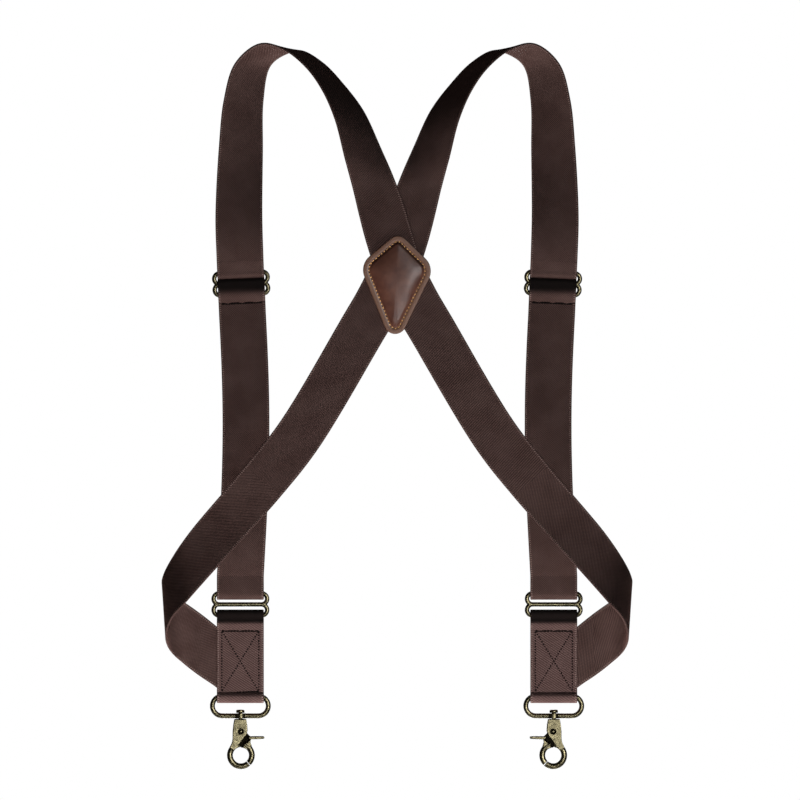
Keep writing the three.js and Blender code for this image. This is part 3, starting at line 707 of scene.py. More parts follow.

# %% [markdown]
# ## Long straps
#
# On the real thing one strap runs from the adjuster over the shoulder and across the back to
# the opposite hip. It is three pieces here, with its weave running on from one to the next: the
# front piece and the hip piece are baked where they hang, and the piece between them is
# attached to the root. A hung strap bellies out a little above the adjuster that holds it.

# %% Long straps
BELLY = 6.0  # mm that the strap stands out above the adjuster
LEAN_OUT = 3.0  # mm that its end already stands out where it enters the adjuster
DOUBLED_SIDES = {"left": "right", "right": "left"}


def side_of(stations, side):
    """Left-hand stations for a side."""
    return stations if side == "left" else mirrored(stations)


def belly(point, low, high, out, start):
    """The point moved towards -Y: by start at height low, by up to out above it, by 0 at high."""
    t = min(max((point.z - low) / (high - low), 0.0), 1.0)
    swell = 6.75 * t * (1 - t) ** 2
    return point - Vector((0, out * swell + start * (1 - t) ** 3, 0))


hip_end_starts = {}  # mm of strap before each hip end, so that its weave runs on
for side, other in DOUBLED_SIDES.items():
    lift = -LAP_HALF if side == "left" else LAP_HALF
    stations = [tuple(belly(p, TOP_OF_WOVEN.z, FRONT_TOP, BELLY, LEAN_OUT) for p in pair)
                for pair in route_piece(lift, 0, FRONT_END)]
    front, cut, end = strap(f"front_webbing_{side}", side_of(stations, side))
    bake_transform(front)
    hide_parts(f"front_strap_{side}")

    long, cut, end = strap(
        f"long_webbing_{side}", side_of(route_piece(lift, FRONT_END, HIP_START), side), end)
    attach(long, "root")
    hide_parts(f"long_strap_{side}")

    hip, cut, end = strap(
        f"hip_webbing_{other}", side_of(route_piece(lift, HIP_START, HIP_END), side), end)
    sign = 1 if side == "left" else -1
    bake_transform(hip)
    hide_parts(f"hip_strap_{other}")
    hip_end_starts[other] = end

# %% [markdown]
# **The end inside the tab.** The hip end is sewn between the tab's layers and cut off square
# with the tab, so the slanted strap is swept and then cut by two planes with bisect_plane.

# %% Hip ends
for side in DOUBLED_SIDES:
    sign = 1 if side == "right" else -1
    stations = route_piece(0, HIP_END, ROUTE_END)
    bm = bmesh.new()
    placed = stations if side == "right" else mirrored(stations)
    length = strap_mesh(bm, placed, hip_end_starts[side])
    cuts = (((sign * (FRONT_X - WEBBING_WIDTH / 2 + 2), 0, 0), (-sign, 0, 0)),
            ((0, 0, LOOP_BAR_Z + TAB_BOTTOM_RADIUS + 1), (0, 0, -1)))
    for place, away in cuts:
        cut_through = bmesh.ops.bisect_plane(
            bm, geom=bm.verts[:] + bm.edges[:] + bm.faces[:], plane_co=place, plane_no=away,
            clear_outer=True)
        rim = [g for g in cut_through["geom_cut"] if isinstance(g, bmesh.types.BMEdge)]
        if rim:
            bmesh.ops.contextual_create(bm, geom=rim)
    tucked = finish_piece(f"hip_end_webbing_{side}", bm, webbing_finish)
    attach(tucked, f"lower_end_{side}")
    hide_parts(f"hip_strap_end_{side}")
    print(f"hip end {side}: {length:.0f} mm")

# %% [markdown]
# ## Webbing at the adjuster
#
# From above, the strap goes over the adjuster's top bar, down through the upper slot, behind
# the middle bar, and on to the lower slide. There it turns round the top bar and comes back up
# in front, to end in a loop that is sewn round the adjuster's middle bar. Its cut end shows as
# a ragged edge. Each bend is an arc round its bar.

# %% Ragged ends
RAGGED_PITCH = 2.6  # mm between the waves that the cutter leaves
RAGGED_DEPTH = 0.5


def ragged(piece_mesh, station):
    """Pushes the end of a swept strap into small waves, across the strap, near that station."""
    near, far = (p * MM for p in station)
    side = (far - near).normalized()
    for vert in piece_mesh.vertices:
        from_near = (vert.co - near).dot(side) / MM
        line = near + side * from_near * MM
        if (vert.co - line).length < THICKNESS * MM:
            wave = math.sin(2 * math.pi * from_near / RAGGED_PITCH)
            vert.co.z += RAGGED_DEPTH * wave * MM


# %% Woven strap, sewn loop and the two hanging layers
FOLD_Y, RUNNING_TOP_Y, RETURN_TOP_Y = 2.2, 2.4, 0.6
SEAM_DROP = 13.0
FOLD_FLARE = 1.6  # mm that the front layer stands out above the lower slide
RETURN_BELLY = 4.0  # and how much further it bellies out above that
BELLY_TOP = 110  # mm above the fold where that belly ends
LAYER_BOW = 3.8  # mm that a hanging layer bows sideways
LAYER_STEPS = 90


def hanging_layer(top_y, bottom_y, out=0.0, flare=0.0):
    """Stations of a layer between the adjuster and the lower slide, from the top down."""
    top = in_adjuster(0, WOVEN_BOTTOM)
    stations = []
    for i in range(LAYER_STEPS + 1):
        t = i / LAYER_STEPS
        x = top.x + (-FRONT_X - top.x) * t + LAYER_BOW * math.sin(math.pi * t) * (1 - t / 4)
        slope = -LEAN * (1 - t)
        z = top.z + (FOLD_TOP_Z - top.z) * t
        middle = Vector((x, FRONT_Y + top_y + (bottom_y - top_y) * t, z))
        middle = belly(middle, FOLD_TOP_Z, FOLD_TOP_Z + BELLY_TOP, out, flare)
        stations.append(across(middle, (math.cos(slope), 0, -math.sin(slope))))
    return stations


def woven_path():
    """In front of the top bar, through the upper slot, and down behind the middle bar."""
    turn = math.degrees(math.asin((BAR_RADIUS + WOVEN_RADIUS) / SLIDE_PITCH))
    return ([(-BAR_RADIUS - LEAN_OUT, WOVEN_TOP), (-BAR_RADIUS - 1.3, WOVEN_TOP - 4.6)]
            + arc(0, SLIDE_PITCH, BAR_RADIUS, 180, 180 + turn)
            + arc(0, 0, WOVEN_RADIUS, turn, 0)
            + [(WOVEN_RADIUS, -SLIDE_PITCH),
               ((WOVEN_RADIUS + RUNNING_TOP_Y) / 2, -SLIDE_PITCH - 7.5),
               (RUNNING_TOP_Y, WOVEN_BOTTOM)])


def loop_path():
    """Up behind the middle bar, over it, and down in front to the seam."""
    return ([(RETURN_TOP_Y, WOVEN_BOTTOM), (LAP_HALF, -SEAM_DROP - 1.5),
             (LAP_HALF + 0.6, -SEAM_DROP + 0.6)]
            + arc(0, -SLIDE_PITCH, BAR_RADIUS, -25, 0, 4)
            + arc(0, 0, BAR_RADIUS, 0, 170, 18)
            + [(-BAR_RADIUS - 0.7, -2.6), (-BAR_RADIUS - 1.6, -5.6), (-BAR_RADIUS - 1.7, -7.2),
               (-BAR_RADIUS - 1.1, -9.4), (-LAP_HALF - 0.9, -SEAM_DROP + 0.4),
               (-LAP_HALF, -SEAM_DROP - 0.6)])


adjuster_place = (Matrix.Translation(in_adjuster(0, 0)) @ Matrix.Rotation(-LEAN, 4, "Y"))
for side in DOUBLED_SIDES:
    woven_stations = side_of(bent_strap(spaced(woven_path()), adjuster_place), side)[::-1]
    woven_start = -sum((a[0] - b[0]).length for a, b in zip(woven_stations, woven_stations[1:]))
    piece, cut, end = strap(f"woven_webbing_{side}", woven_stations, woven_start)
    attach(piece, f"adjuster_{side}")
    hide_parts(f"woven_strap_{side}")

    running = side_of(hanging_layer(RUNNING_TOP_Y, FOLD_Y), side)[::-1]
    running_start = woven_start + FOLD_TOP_Z - in_adjuster(0, WOVEN_BOTTOM).z
    piece, cut, end = strap(f"running_webbing_{side}", running, running_start)
    pull = in_adjuster(0, WOVEN_BOTTOM) * MM
    pull.x *= 1 if side == "left" else -1
    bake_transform(piece)
    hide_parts(f"running_strap_{side}")

    fold_top = FOLD_TOP_Z - LOWER_SLIDE_Z
    fold_path = ([(FOLD_Y, fold_top)] + arc(0, SLIDE_PITCH, FOLD_RADIUS, 0, -180, 20)
                 + [(-FOLD_RADIUS, SLIDE_PITCH + 3), (-FOLD_Y - FOLD_FLARE, fold_top)])
    slide_place = Matrix.Translation((-FRONT_X, FRONT_Y, LOWER_SLIDE_Z))
    folded = side_of(bent_strap(spaced(fold_path), slide_place), side)
    piece, cut, end = strap(f"fold_webbing_{side}", folded)
    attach(piece, f"lower_end_{side}")
    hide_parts(f"strap_fold_{side}")

    returning = hanging_layer(RETURN_TOP_Y, -FOLD_Y, RETURN_BELLY, FOLD_FLARE)[::-1]
    piece, cut, end = strap(f"return_webbing_{side}", side_of(returning, side), end)
    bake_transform(piece)
    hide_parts(f"return_strap_{side}")

    sewn = side_of(bent_strap(spaced(loop_path()), adjuster_place), side)
    # Painted shade: the loop goes near black 3 to 9 mm below the middle bar, where its fold lies
    # in shadow.
    piece, cut, end = strap(f"loop_webbing_{side}", sewn, end,
                            painted_fold_shade=fading(ADJUSTER_Z - 3, ADJUSTER_Z - 9))
    ragged(piece.data, sewn[-1])
    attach(piece, f"adjuster_{side}")
    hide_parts(f"strap_loop_{side}")

# %% [markdown]
# ## Hook tab
#
# The tab is webbing looped round the lower slide and the hook's loop. Two more layers lie on
# its front: a middle piece, and over its top the end that comes down from the slide. Their
# ragged cut ends, each over a row of near-black beads that paints the shadow under it, are the
# two dark lines across the tab.

# %% Tab layers
TAB_LAP = THICKNESS + GAP
PLY = 0.75  # mm, a layer that is pressed flat by the sewing
SEAM_TOP, SEAM_BOTTOM = 10.6, 57.4  # mm below the slide's bar


def tab_path():
    """Once round both bars, from the middle of the tab's back."""
    join = -TAB_LENGTH / 2
    pinch_top, pinch_bottom = -TAB_TOP_RADIUS - 4, -TAB_LENGTH + 3.8
    return ([(TAB_LAP, join + GAP / 2), (TAB_LAP, pinch_top)]
            + arc(0, 0, TAB_TOP_RADIUS, 0, 180, 18)
            + [(-TAB_LAP, pinch_top), (-TAB_LAP, pinch_bottom)]
            + arc(0, -TAB_LENGTH, TAB_BOTTOM_RADIUS, 180, 360, 18)
            + [(TAB_LAP, pinch_bottom), (TAB_LAP, join - GAP / 2)])


tab_place = Matrix.Translation((-FRONT_X, FRONT_Y, TAB_TOP_Z))
tab_front = -TAB_LAP - HALF - PLY / 2 - 0.05
for side in DOUBLED_SIDES:
    tab_stations = side_of(bent_strap(spaced(tab_path()), tab_place), side)
    piece, cut, end = strap(f"tab_webbing_{side}", tab_stations, finish=ribbed_finish)
    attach(piece, f"lower_end_{side}")
    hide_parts(f"hook_tab_{side}")
    overlays = {
        "tab_middle": [(tab_front, -SEAM_TOP + 4), (tab_front, -SEAM_BOTTOM)],
        "tab_upper": (arc(0, 0, TAB_TOP_RADIUS + HALF + PLY / 2, 110, 165, 8)
                      + [(tab_front - PLY - 0.5, -2.6), (tab_front - PLY - 1.5, -5.0),
                         (tab_front - PLY - 1.5, -6.2), (tab_front - PLY - 0.8, -8.4),
                         (tab_front - PLY, -SEAM_TOP)]),
    }
    for name, path in overlays.items():
        stations = side_of(bent_strap(spaced(path), tab_place), side)
        bm = bmesh.new()
        # Painted shade: the plies go near black 4 to 7 mm below the slide's bar, where the tab's
        # top fold is in shadow.
        length = strap_mesh(bm, stations, thickness=PLY,
                            painted_fold_shade=fading(TAB_TOP_Z - 4, TAB_TOP_Z - 7))
        ply = finish_piece(f"{name}_webbing_{side}", bm, ribbed_finish)
        ragged(ply.data, stations[-1])
        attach(ply, f"lower_end_{side}")

# %% [markdown]
# ## Stitches
#
# A machine stitch is a short bead of thread that dives into the cloth at both ends. One small
# sphere is stretched along the seam for each, and repeated by walking along the seam's line.

# %% Stitch rows
def stitch_row(bm, line, pitch, size, closed=False):
    """Beads of size (long, wide, high) along a line of points, a pitch apart."""
    points = line + line[:1] if closed else line
    lengths = [(b - a).length for a, b in zip(points, points[1:])]
    total = sum(lengths)
    count = max(1, round(total / pitch))
    for k in range(count):
        walk = (k + 0.5) * total / count
        i = 0
        while walk > lengths[i]:
            walk -= lengths[i]
            i += 1
        way = (points[i + 1] - points[i]).normalized()
        place = points[i] + way * walk
        axes = Matrix((way, Vector((0, 1, 0)), way.cross(Vector((0, 1, 0))))).transposed()
        shape = Matrix.Diagonal((size[0] / 2, size[2] / 2, size[1] / 2, 1))
        bmesh.ops.create_uvsphere(bm, u_segments=8, v_segments=6, radius=1,
                                  matrix=Matrix.Translation(place) @ axes.to_4x4() @ shape)
    return count


def straight(x1, z1, x2, z2, y):
    return [Vector((x1, y, z1)), Vector((x2, y, z2))]


TAB_STITCH = 2.1  # mm from hole to hole
BEAD = (1.3, 1.25, 0.6)
# Painted shadow: wide near-black beads along the seams, under the ragged cut ends.
SEAM_SHADOW_BEAD = (2.4, 1.7, 0.8)
for side in DOUBLED_SIDES:
    sign = 1 if side == "left" else -1
    w, high, low = WEBBING_WIDTH / 2 - 3.7, -SEAM_TOP - 0.9, -SEAM_BOTTOM + 0.9
    y = tab_front - PLY / 2
    bm = bmesh.new()
    count = 0
    rows = [(-w, high, w, high), (-w, low - 1.8, w, low - 1.8 + sign * 1.6), (-w, low, -w, high),
            (w, low, w, high), (-w, low, w, high), (-w, high, w, low)]
    for i, row in enumerate(rows):
        bead = SEAM_SHADOW_BEAD if i < 2 else BEAD
        count += stitch_row(bm, straight(*row, y), TAB_STITCH, bead)
    bmesh.ops.transform(bm, matrix=Matrix.Translation((-sign * FRONT_X, FRONT_Y, TAB_TOP_Z)),
                        verts=bm.verts)
    sewing = finish_piece(f"tab_stitches_{side}", bm, dark_thread_and_shade_finish)
    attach(sewing, f"lower_end_{side}")
    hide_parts(f"tab_stitching_{side}")
    print(f"tab {side}: {count} stitches")

    bm = bmesh.new()
    # Painted shadow: a row of wide near-black beads under the loop's ragged cut end.
    seam_z = -SEAM_DROP - 1.7
    stitch_row(bm, straight(-w - 1, seam_z, w + 1, seam_z, LAP_HALF - HALF), TAB_STITCH, SEAM_SHADOW_BEAD)
    place = adjuster_place if side == "left" else (
        Matrix.Scale(-1, 4, (1, 0, 0)) @ adjuster_place)
    bmesh.ops.transform(bm, matrix=place, verts=bm.verts)
    seam = finish_piece(f"loop_stitches_{side}", bm, dark_thread_and_shade_finish)
    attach(seam, f"adjuster_{side}")

# %% [markdown]
# ## Crossing patch
#
# The patch is moulded leather: a flat rim, a stitched groove, and a dome. Its outline touches
# four circles, and the same circles with smaller radii give the rim's inner lines. Each ring is
# extruded from the last, from the back edge round to the groove. Over the dome the rings
# shrink towards the middle while they rise, and smooth_vert then takes out the creases that
# run in from the corners, because wet leather over a former shows none.

# %% Outline
TOP_CIRCLE, SIDE_CIRCLE, BOTTOM_CIRCLE = (0, 15.4, 8), (12, -2.5, 13.2), (0, -41.4, 8.3)
PATCH_LEAN = math.radians(2)
PATCH_SEAM = 4.3


def tangent(a, b):
    """The angle, on both circles, of the outer line that touches one and then the other."""
    dx, dz = b[0] - a[0], b[1] - a[1]
    return math.atan2(dz, dx) - math.acos((a[2] - b[2]) / math.hypot(dx, dz))


def patch_outline(inset, spacing=1.6):
    """Points round the patch at that distance in from its edge, as (x, z), evenly numbered."""
    x, z, r = SIDE_CIRCLE
    circles = [SIDE_CIRCLE, TOP_CIRCLE, (-x, z, r), BOTTOM_CIRCLE]
    line = []
    for i, (cx, cz, r) in enumerate(circles):
        start = tangent(circles[i - 1], circles[i])
        end = tangent(circles[i], circles[(i + 1) % 4])
        while end < start:
            end += 2 * math.pi
        steps = round((end - start) * r / spacing)
        line += [(cx + (r - inset) * math.cos(start + (end - start) * k / steps),
                  cz + (r - inset) * math.sin(start + (end - start) * k / steps))
                 for k in range(steps + 1)]
    even = []
    for (x0, z0), (x1, z1) in zip(line, line[1:] + line[:1]):
        count = max(1, round(math.hypot(x1 - x0, z1 - z0) / spacing))
        even += [(x0 + (x1 - x0) * k / count, z0 + (z1 - z0) * k / count) for k in range(count)]
    return even


# %% Patch pieces
PATCH_FRONT = BACK_Y - 2 * LAP_HALF - GAP / 2
BOARD_FRONT = PATCH_FRONT - 1.2
LEATHER_BACK = BOARD_FRONT - GAP
DOME_HEIGHT = 3.0
CREASE_SMOOTHING = 60  # times that the dome's height is averaged with its neighbours
DOME_CENTRE = Vector((0, -7.5))
patch_place = (Matrix.Translation((0, 0, CROSS_Z)) @ Matrix.Rotation(PATCH_LEAN, 4, "Y"))


def inset_ring(inset):
    """The outline moved in by inset, along each point's own normal."""
    whole = [Vector(p) for p in patch_outline(0)]
    count = len(whole)
    ring = []
    for i, here in enumerate(whole):
        way = (whole[(i + 1) % count] - whole[i - 1]).normalized()
        ring.append(here + Vector((-way.y, way.x)) * inset)
    return ring


def pressed_sheet(name, profile, finish, dome=()):
    """A moulded sheet from (inset, y, rim) rings, and dome rings of (share, y)."""
    bm = bmesh.new()
    layer = bm.verts.layers.float.new("rim")
    flat = [[Vector((p.x, y, p.y)) for p in inset_ring(inset)] for inset, y, _ in profile]
    last = inset_ring(profile[-1][0])
    arms = [p - DOME_CENTRE for p in last]
    mean = sum(arm.length for arm in arms) / len(arms)
    for share, y in dome:
        row = [DOME_CENTRE + arm * share * (share + (1 - share) * mean / arm.length)
               for arm in arms]
        flat.append([Vector((q.x, y, q.y)) for q in row])
    rims = [rim for _, _, rim in profile] + [0.0] * len(dome)
    rows = sweep(bm, flat)
    for row, rim in zip(rows, rims):
        for vert in row:
            vert[layer] = rim
    for _ in range(CREASE_SMOOTHING if dome else 0):
        bmesh.ops.smooth_vert(bm, verts=[v for row in rows[len(profile):] for v in row],
                              factor=0.5, use_axis_y=True)
    bmesh.ops.transform(bm, matrix=patch_place, verts=bm.verts)
    piece = finish_piece(name, bm, finish, 60)
    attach(piece, "root")
    return piece


face = LEATHER_BACK - 1.5
DOME_RINGS = 16
dome_rings = [(1 - k / DOME_RINGS, face - 1.0 - DOME_HEIGHT * (1 - (1 - k / DOME_RINGS) ** 2.2))
              for k in range(1, DOME_RINGS)]
dome_rings.append((0.02, face - 1.0 - DOME_HEIGHT))
front = pressed_sheet(
    "patch_leather",
    [(0.3, LEATHER_BACK, 1.0), (0.0, LEATHER_BACK - 0.35, 1.0), (0.0, face + 0.5, 1.0),
     (0.2, face + 0.12, 0.9), (0.6, face, 0.75), (1.1, face - 0.02, 0.5), (2.2, face - 0.1, 0.5),
     (3.3, face - 0.08, 0.5), (3.9, face + 0.15, 0.55), (4.3, face + 0.3, 0.55),
     (4.7, face + 0.15, 0.45), (5.3, face - 0.4, 0.1), (6.0, face - 1.0, 0.0)],
    leather_finish, dome_rings)
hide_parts("patch_front")

back = BACK_Y + 2 * LAP_HALF + GAP / 2
behind = pressed_sheet(
    "patch_back_lining",
    [(0.9, back, 0.9), (0.5, back + 0.25, 1.0), (0.5, back + 0.7, 1.0), (0.8, back + 0.95, 0.8),
     (1.6, back + 1.0, 0.3), (3.6, back + 1.0, 0.3), (4.0, back + 0.8, 0.4),
     (4.6, back + 0.8, 0.4), (5.0, back + 1.0, 0.2), (6.0, back + 1.0, 0.0)],
    lining_finish, [(0.7, back + 1.0), (0.35, back + 1.0), (0.04, back + 1.0)])
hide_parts("patch_lining")
print("patch", len(front.data.polygons), "and", len(behind.data.polygons), "faces")

# %% Patch stitches, and painted shade in the needle holes
PATCH_STITCH = 2.7
seam_line = [Vector((p.x, face + 0.12, p.y)) for p in inset_ring(PATCH_SEAM)]
bm = bmesh.new()
count = stitch_row(bm, seam_line, PATCH_STITCH, (1.65, 1.0, 0.75), closed=True)
behind_line = [Vector((p.x, back + 0.95, p.y)) for p in inset_ring(PATCH_SEAM)]
stitch_row(bm, behind_line, PATCH_STITCH, (1.9, 0.8, 0.5), closed=True)
bmesh.ops.transform(bm, matrix=patch_place, verts=bm.verts)
ring = finish_piece("patch_stitches", bm, gold_thread_finish)
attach(ring, "root")
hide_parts("patch_stitching")

# Painted shade: a near-black bead between each pair of stitches stands for the shade in the needle
# hole.
between = seam_line[1:] + seam_line[:1]
total = sum((b - a).length for a, b in zip(seam_line, between))
shift = total / count / 2
walked, start = 0.0, 0
while walked < shift:
    walked += (seam_line[start + 1] - seam_line[start]).length
    start += 1
bm = bmesh.new()
stitch_row(bm, seam_line[start:] + seam_line[:start], PATCH_STITCH, (1.3, 1.15, 0.55), closed=True)
bmesh.ops.transform(bm, matrix=patch_place, verts=bm.verts)
hole_shade = finish_piece("patch_needle_hole_shade", bm, dark_thread_and_shade_finish)
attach(hole_shade, "root")
print(count, "stitches round the patch")

# %% [markdown]
# ## Cast brass
#
# The slides, loops and hooks are zinc castings, tumbled smooth and plated, so no edge on them is
# sharp and every joint between two bars has a small fillet. Each casting is put together from
# overlapping closed shapes. A voxel remesh makes them one skin, and a smoothing rounds it off.

# %% Casting
def cast(name, bm, voxel=0.26, passes=6):
    """One smooth closed mesh, in mm, of the overlapping shapes in bm."""
    bmesh.ops.recalc_face_normals(bm, faces=bm.faces)
    raw = bpy.data.meshes.new(name)
    bm.to_mesh(raw)
    bm.free()
    rough = bpy.data.objects.new(name, raw)
    bpy.context.scene.collection.objects.link(rough)
    skin = rough.modifiers.new("skin", "REMESH")
    skin.mode = "VOXEL"
    skin.voxel_size = voxel
    soften = rough.modifiers.new("soften", "SMOOTH")
    soften.factor = 0.5
    soften.iterations = passes
    ready = bpy.data.meshes.new_from_object(
        rough.evaluated_get(bpy.context.evaluated_depsgraph_get()))
    bpy.data.objects.remove(rough)
    bpy.data.meshes.remove(raw)
    print(f"{name}: {len(ready.polygons)} faces")
    return ready


def place_casting(name, casting, place, finish, body, nodes, mirror=False, hollow=None):
    """A copy of a casting in its place, in metres, standing for its CAD nodes."""
    bm = bmesh.new()
    bm.from_mesh(casting)
    if hollow:
        blacken(bm, hollow)
    bmesh.ops.transform(bm, matrix=place, verts=bm.verts)
    if mirror:
        bmesh.ops.scale(bm, vec=(-1, 1, 1), verts=bm.verts)
        bmesh.ops.reverse_faces(bm, faces=bm.faces)
    piece = finish_piece(name, bm, finish, 80)
    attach(piece, body)
    if nodes:
        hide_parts(*nodes)
    return piece


def wire_ring(point, along, radius, sides=16):
    """A circle of points round a wire that runs in the plane of x and z."""
    outward = Vector((0, 1, 0)).cross(along).normalized()
    turns = [2 * math.pi * k / sides for k in range(sides)]
    return [point + (outward * math.cos(a) + Vector((0, 1, 0)) * math.sin(a)) * radius
            for a in turns]


def oval_wire(bm, span, lobe, wire, z, steps=16):
    """A closed oval of round wire, level, its middle at height z."""
    points = []
    for side in (1, -1):
        points += [Vector((side * (span / 2 - lobe + lobe * math.sin(math.pi * k / steps)), 0,
                           z + side * lobe * math.cos(math.pi * k / steps)))
                   for k in range(steps + 1)]
    count = len(points)
    rings = [wire_ring(p, points[(i + 1) % count] - points[i - 1], wire)
             for i, p in enumerate(points)]
    sweep(bm, rings, closed=True)


# %% Slides and loops
bm = bmesh.new()
for z in (SLIDE_LOBE, -SLIDE_LOBE):
    oval_wire(bm, SLIDE_SPAN, SLIDE_LOBE, SLIDE_WIRE, z)
slide_casting = cast("slide", bm)

COLLAR_RADIUS, COLLAR_HEIGHT = 3.8, 3.9
bm = bmesh.new()
oval_wire(bm, LOOP_SPAN, LOOP_LOBE, LOOP_WIRE, -LOOP_LOBE)
collar = bmesh.ops.create_cone(bm, cap_ends=True, segments=48, radius1=COLLAR_RADIUS,
                               radius2=COLLAR_RADIUS, depth=COLLAR_HEIGHT)["verts"]
bmesh.ops.translate(bm, verts=collar, vec=(0, 0, -2 * LOOP_LOBE))
loop_casting = cast("hook_loop", bm)

for side in DOUBLED_SIDES:
    right = side == "right"
    place_casting(f"adjuster_frame_{side}", slide_casting, adjuster_place, brass_finish,
                  f"adjuster_{side}", [f"adjuster_{side}"], right)
    place_casting(f"lower_slide_frame_{side}", slide_casting, slide_place, brass_finish,
                  f"lower_slide_{side}", [f"lower_slide_{side}"], right)
    place_casting(f"hook_loop_frame_{side}", loop_casting,
                  Matrix.Translation((-FRONT_X, FRONT_Y, LOOP_BAR_Z)), brass_finish,
                  f"hook_loop_{side}", [f"hook_loop_{side}"], right)

# %% [markdown]
# **Swivel post.** A rivet turned on a lathe, so its outline spins round the upright axis. Its
# head shows above the collar, and its shank goes down into the hook.

# %% Swivel post
HOOK_TOP = LOOP_BOTTOM_Z - COLLAR_HEIGHT / 2 - GAP
PIN_Z = HOOK_TOP - 9.5
POST_UNDER = LOOP_BOTTOM_Z + COLLAR_HEIGHT / 2 + GAP


def turned(bm, outline, steps=40):
    """A lathe shape from (radius, z) points that start and end on the axis."""
    verts = [bm.verts.new((r, 0, z)) for r, z in outline]
    edges = [bm.edges.new(pair) for pair in zip(verts, verts[1:])]
    bmesh.ops.spin(bm, geom=verts + edges, cent=(0, 0, 0), axis=(0, 0, 1), steps=steps,
                   angle=2 * math.pi, use_merge=True)
    bmesh.ops.remove_doubles(bm, verts=bm.verts, dist=0.001)


post_outline = [(0, HOOK_TOP - 2.6), (1.45, HOOK_TOP - 2.6), (1.5, POST_UNDER),
                (2.9, POST_UNDER), (3.15, POST_UNDER + 0.25), (3.15, POST_UNDER + 1.4),
                (2.95, POST_UNDER + 1.95), (2.4, POST_UNDER + 2.3), (1.2, POST_UNDER + 2.42),
                (0, POST_UNDER + 2.45)]
for side in DOUBLED_SIDES:
    bm = bmesh.new()
    turned(bm, post_outline)
    bmesh.ops.translate(bm, verts=bm.verts,
                        vec=(-FRONT_X if side == "left" else FRONT_X, FRONT_Y, 0))
    rivet = finish_piece(f"swivel_rivet_{side}", bm, brass_finish, 50)
    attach(rivet, f"hook_{side}")
    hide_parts(f"swivel_post_{side}")

# %% [markdown]
# **Hook.** The body has two cheeks with a slot between them for the trigger, and runs down into
# the fixed half of the ring. The cheeks and the walls round the slot are slabs with bevelled
# edges, and the ring's bar is a circle that is swept round an arc.

# %% Hook shapes
RING_DROP, RING_RADIUS, RING_BAR, PIN_X = 17.7, 8.2, 2.2, 0.4
CHEEK_OUT, CHEEK_IN = 3.0, 1.7


def slab(bm, outline, low, high, edge=0.45):
    """A plate from (x, z) points, between two heights in y, its edges bevelled."""
    verts = [bm.verts.new((x, low, z)) for x, z in outline]
    face = bm.faces.new(verts)
    grown = bmesh.ops.extrude_face_region(bm, geom=[face])["geom"]
    top = [g for g in grown if isinstance(g, bmesh.types.BMVert)]
    bmesh.ops.translate(bm, verts=top, vec=(0, high - low, 0))
    rims = {e for v in verts + top for e in v.link_edges}
    bmesh.ops.bevel(bm, geom=list(rims), offset=edge, segments=2, profile=0.5,
                    affect="EDGES", material=-1)


def ring_bar(bm, start, end, radius=RING_BAR, steps=28):
    """Part of the hook's ring, in degrees round it from +X towards +Z, with closed ends."""
    rings = []
    for k in range(steps + 1):
        a = math.radians(start + (end - start) * k / steps)
        out = Vector((math.cos(a), 0, math.sin(a)))
        along = Vector((-math.sin(a), 0, math.cos(a)))
        centre = Vector((PIN_X, 0, -RING_DROP)) + out * RING_RADIUS
        rings.append(wire_ring(centre, along, radius))
    sweep(bm, rings)


HOOK_OUTLINE = [(-4.5, 9.5), (-5.3, 5), (-5.8, 0), (-5.8, -5.5), (-6.4, -8.5), (-8.2, -12),
                (-5.5, -14), (-3.2, -12.8), (-1.6, -11.6), (-1.4, -10.2), (4.3, -2.6), (5.4, 0.4),
                (5.2, 4.6), (4.5, 9.5)]
SLOT_WALL = [(-4.5, 9.5), (-5.3, 5), (-5.8, 0), (-5.8, -5.5), (-6.4, -8.5), (-8.2, -12),
             (-5.5, -14), (-3.2, -12.8), (-1.6, -11.6), (-1.9, -9.9), (-2.2, -8.0), (-3.3, -4),
             (-3.3, 3.5), (5.25, 3.5), (5.2, 4.6), (4.5, 9.5)]
bm = bmesh.new()
for low, high in ((-CHEEK_OUT, -CHEEK_IN), (CHEEK_IN, CHEEK_OUT)):
    slab(bm, HOOK_OUTLINE, low, high, 0.4)
slab(bm, SLOT_WALL, -CHEEK_OUT + 0.1, CHEEK_OUT - 0.1, 0.4)
ring_bar(bm, 96, 312)
hook_casting = cast("hook", bm, 0.24, 5)

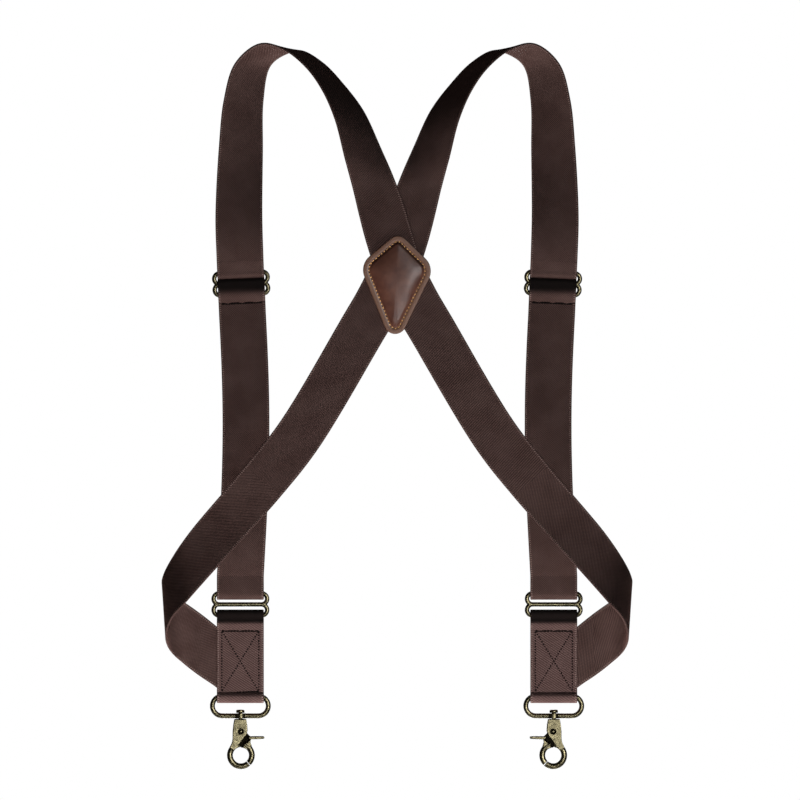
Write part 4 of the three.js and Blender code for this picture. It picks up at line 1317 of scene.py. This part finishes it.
bm = bmesh.new()
ring_bar(bm, -45, 75)
slab(bm, [(7.9, -5.2), (1.9, -11.3), (2.2, -12.3), (5, -13.2), (8.6, -11), (7.6, -8.2)], -2, 2)
slab(bm, [(5.6, -4.6), (7, -6.6), (8, -5.9), (17.4, -5.5), (18, -4.9), (18, -3.9),
          (17.4, -3.4), (5.9, -3.4)], -1.4, 1.4, 0.6)
slab(bm, [(-1.6, -1.9), (-0.8, -11.0), (1.0, -12.1), (2.8, -12.0), (8.3, -5.6), (7.2, -3.4),
          (3, 1.2), (0.4, 1.8)], -0.6, 0.6, 0.2)
trigger_casting = cast("trigger", bm, 0.22, 4)

# %% Hook, trigger and pin
PIN_RADIUS = 1.3


def in_slot(p):
    """Whether a point lies in the hook's slot, where no cloth gets: black oxide and painted shade.
    """
    return abs(p.y) < 1.3 and -3.5 < p.x < 7.8 and -12.2 < p.z < 4 and p.x - 0.9 * p.z < 13.2


for side in DOUBLED_SIDES:
    right = side == "right"
    place = Matrix.Translation((-FRONT_X, FRONT_Y, PIN_Z))
    place_casting(f"hook_casting_{side}", hook_casting, place, brass_finish,
                  f"hook_{side}", [f"hook_body_{side}"], right, in_slot)
    place_casting(f"trigger_casting_{side}", trigger_casting, place, brass_finish,
                  f"trigger_{side}", [f"trigger_{side}"], right, in_slot)
    bm = bmesh.new()
    reach = CHEEK_OUT + 0.55
    head = [(0, 0), (0.6, 0.05), (1.0, 0.25), (1.15, 0.5), (1.8, 0.5), (2.1, 0.3), (2.3, 0.4),
            (2.4, 0.7), (PIN_RADIUS, 0.7)]
    turned(bm, [(r, -reach + z) for r, z in head] + [(r, reach - z) for r, z in head[::-1]], 32)
    # Oxide and painted shade: the groove round the rivet's head is turned full black.
    blacken(bm, lambda p: 1.1 < math.hypot(p.x, p.y) < 2.0)
    turn = Matrix.Rotation(math.pi / 2, 4, "X")
    bmesh.ops.transform(bm, matrix=place @ Matrix.Translation((PIN_X, 0, 0)) @ turn,
                        verts=bm.verts)
    if right:
        bmesh.ops.scale(bm, vec=(-1, 1, 1), verts=bm.verts)
    rivet = finish_piece(f"trigger_rivet_{side}", bm, brass_finish, 50)
    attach(rivet, f"hook_{side}")
    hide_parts(f"trigger_pin_{side}")

# %% [markdown]
# ## Pieces kept from the model
#
# The board inside the patch and the trigger's springs are plain shapes that hardly show, so the
# model's own solids stay. They only get their real finish.

# %% Kept pieces
kept = {"patch_board": board_finish, "trigger_spring_left": steel_finish,
        "trigger_spring_right": steel_finish}
for node, finish in kept.items():
    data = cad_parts[node].data
    data.materials.clear()
    data.materials.append(finish)
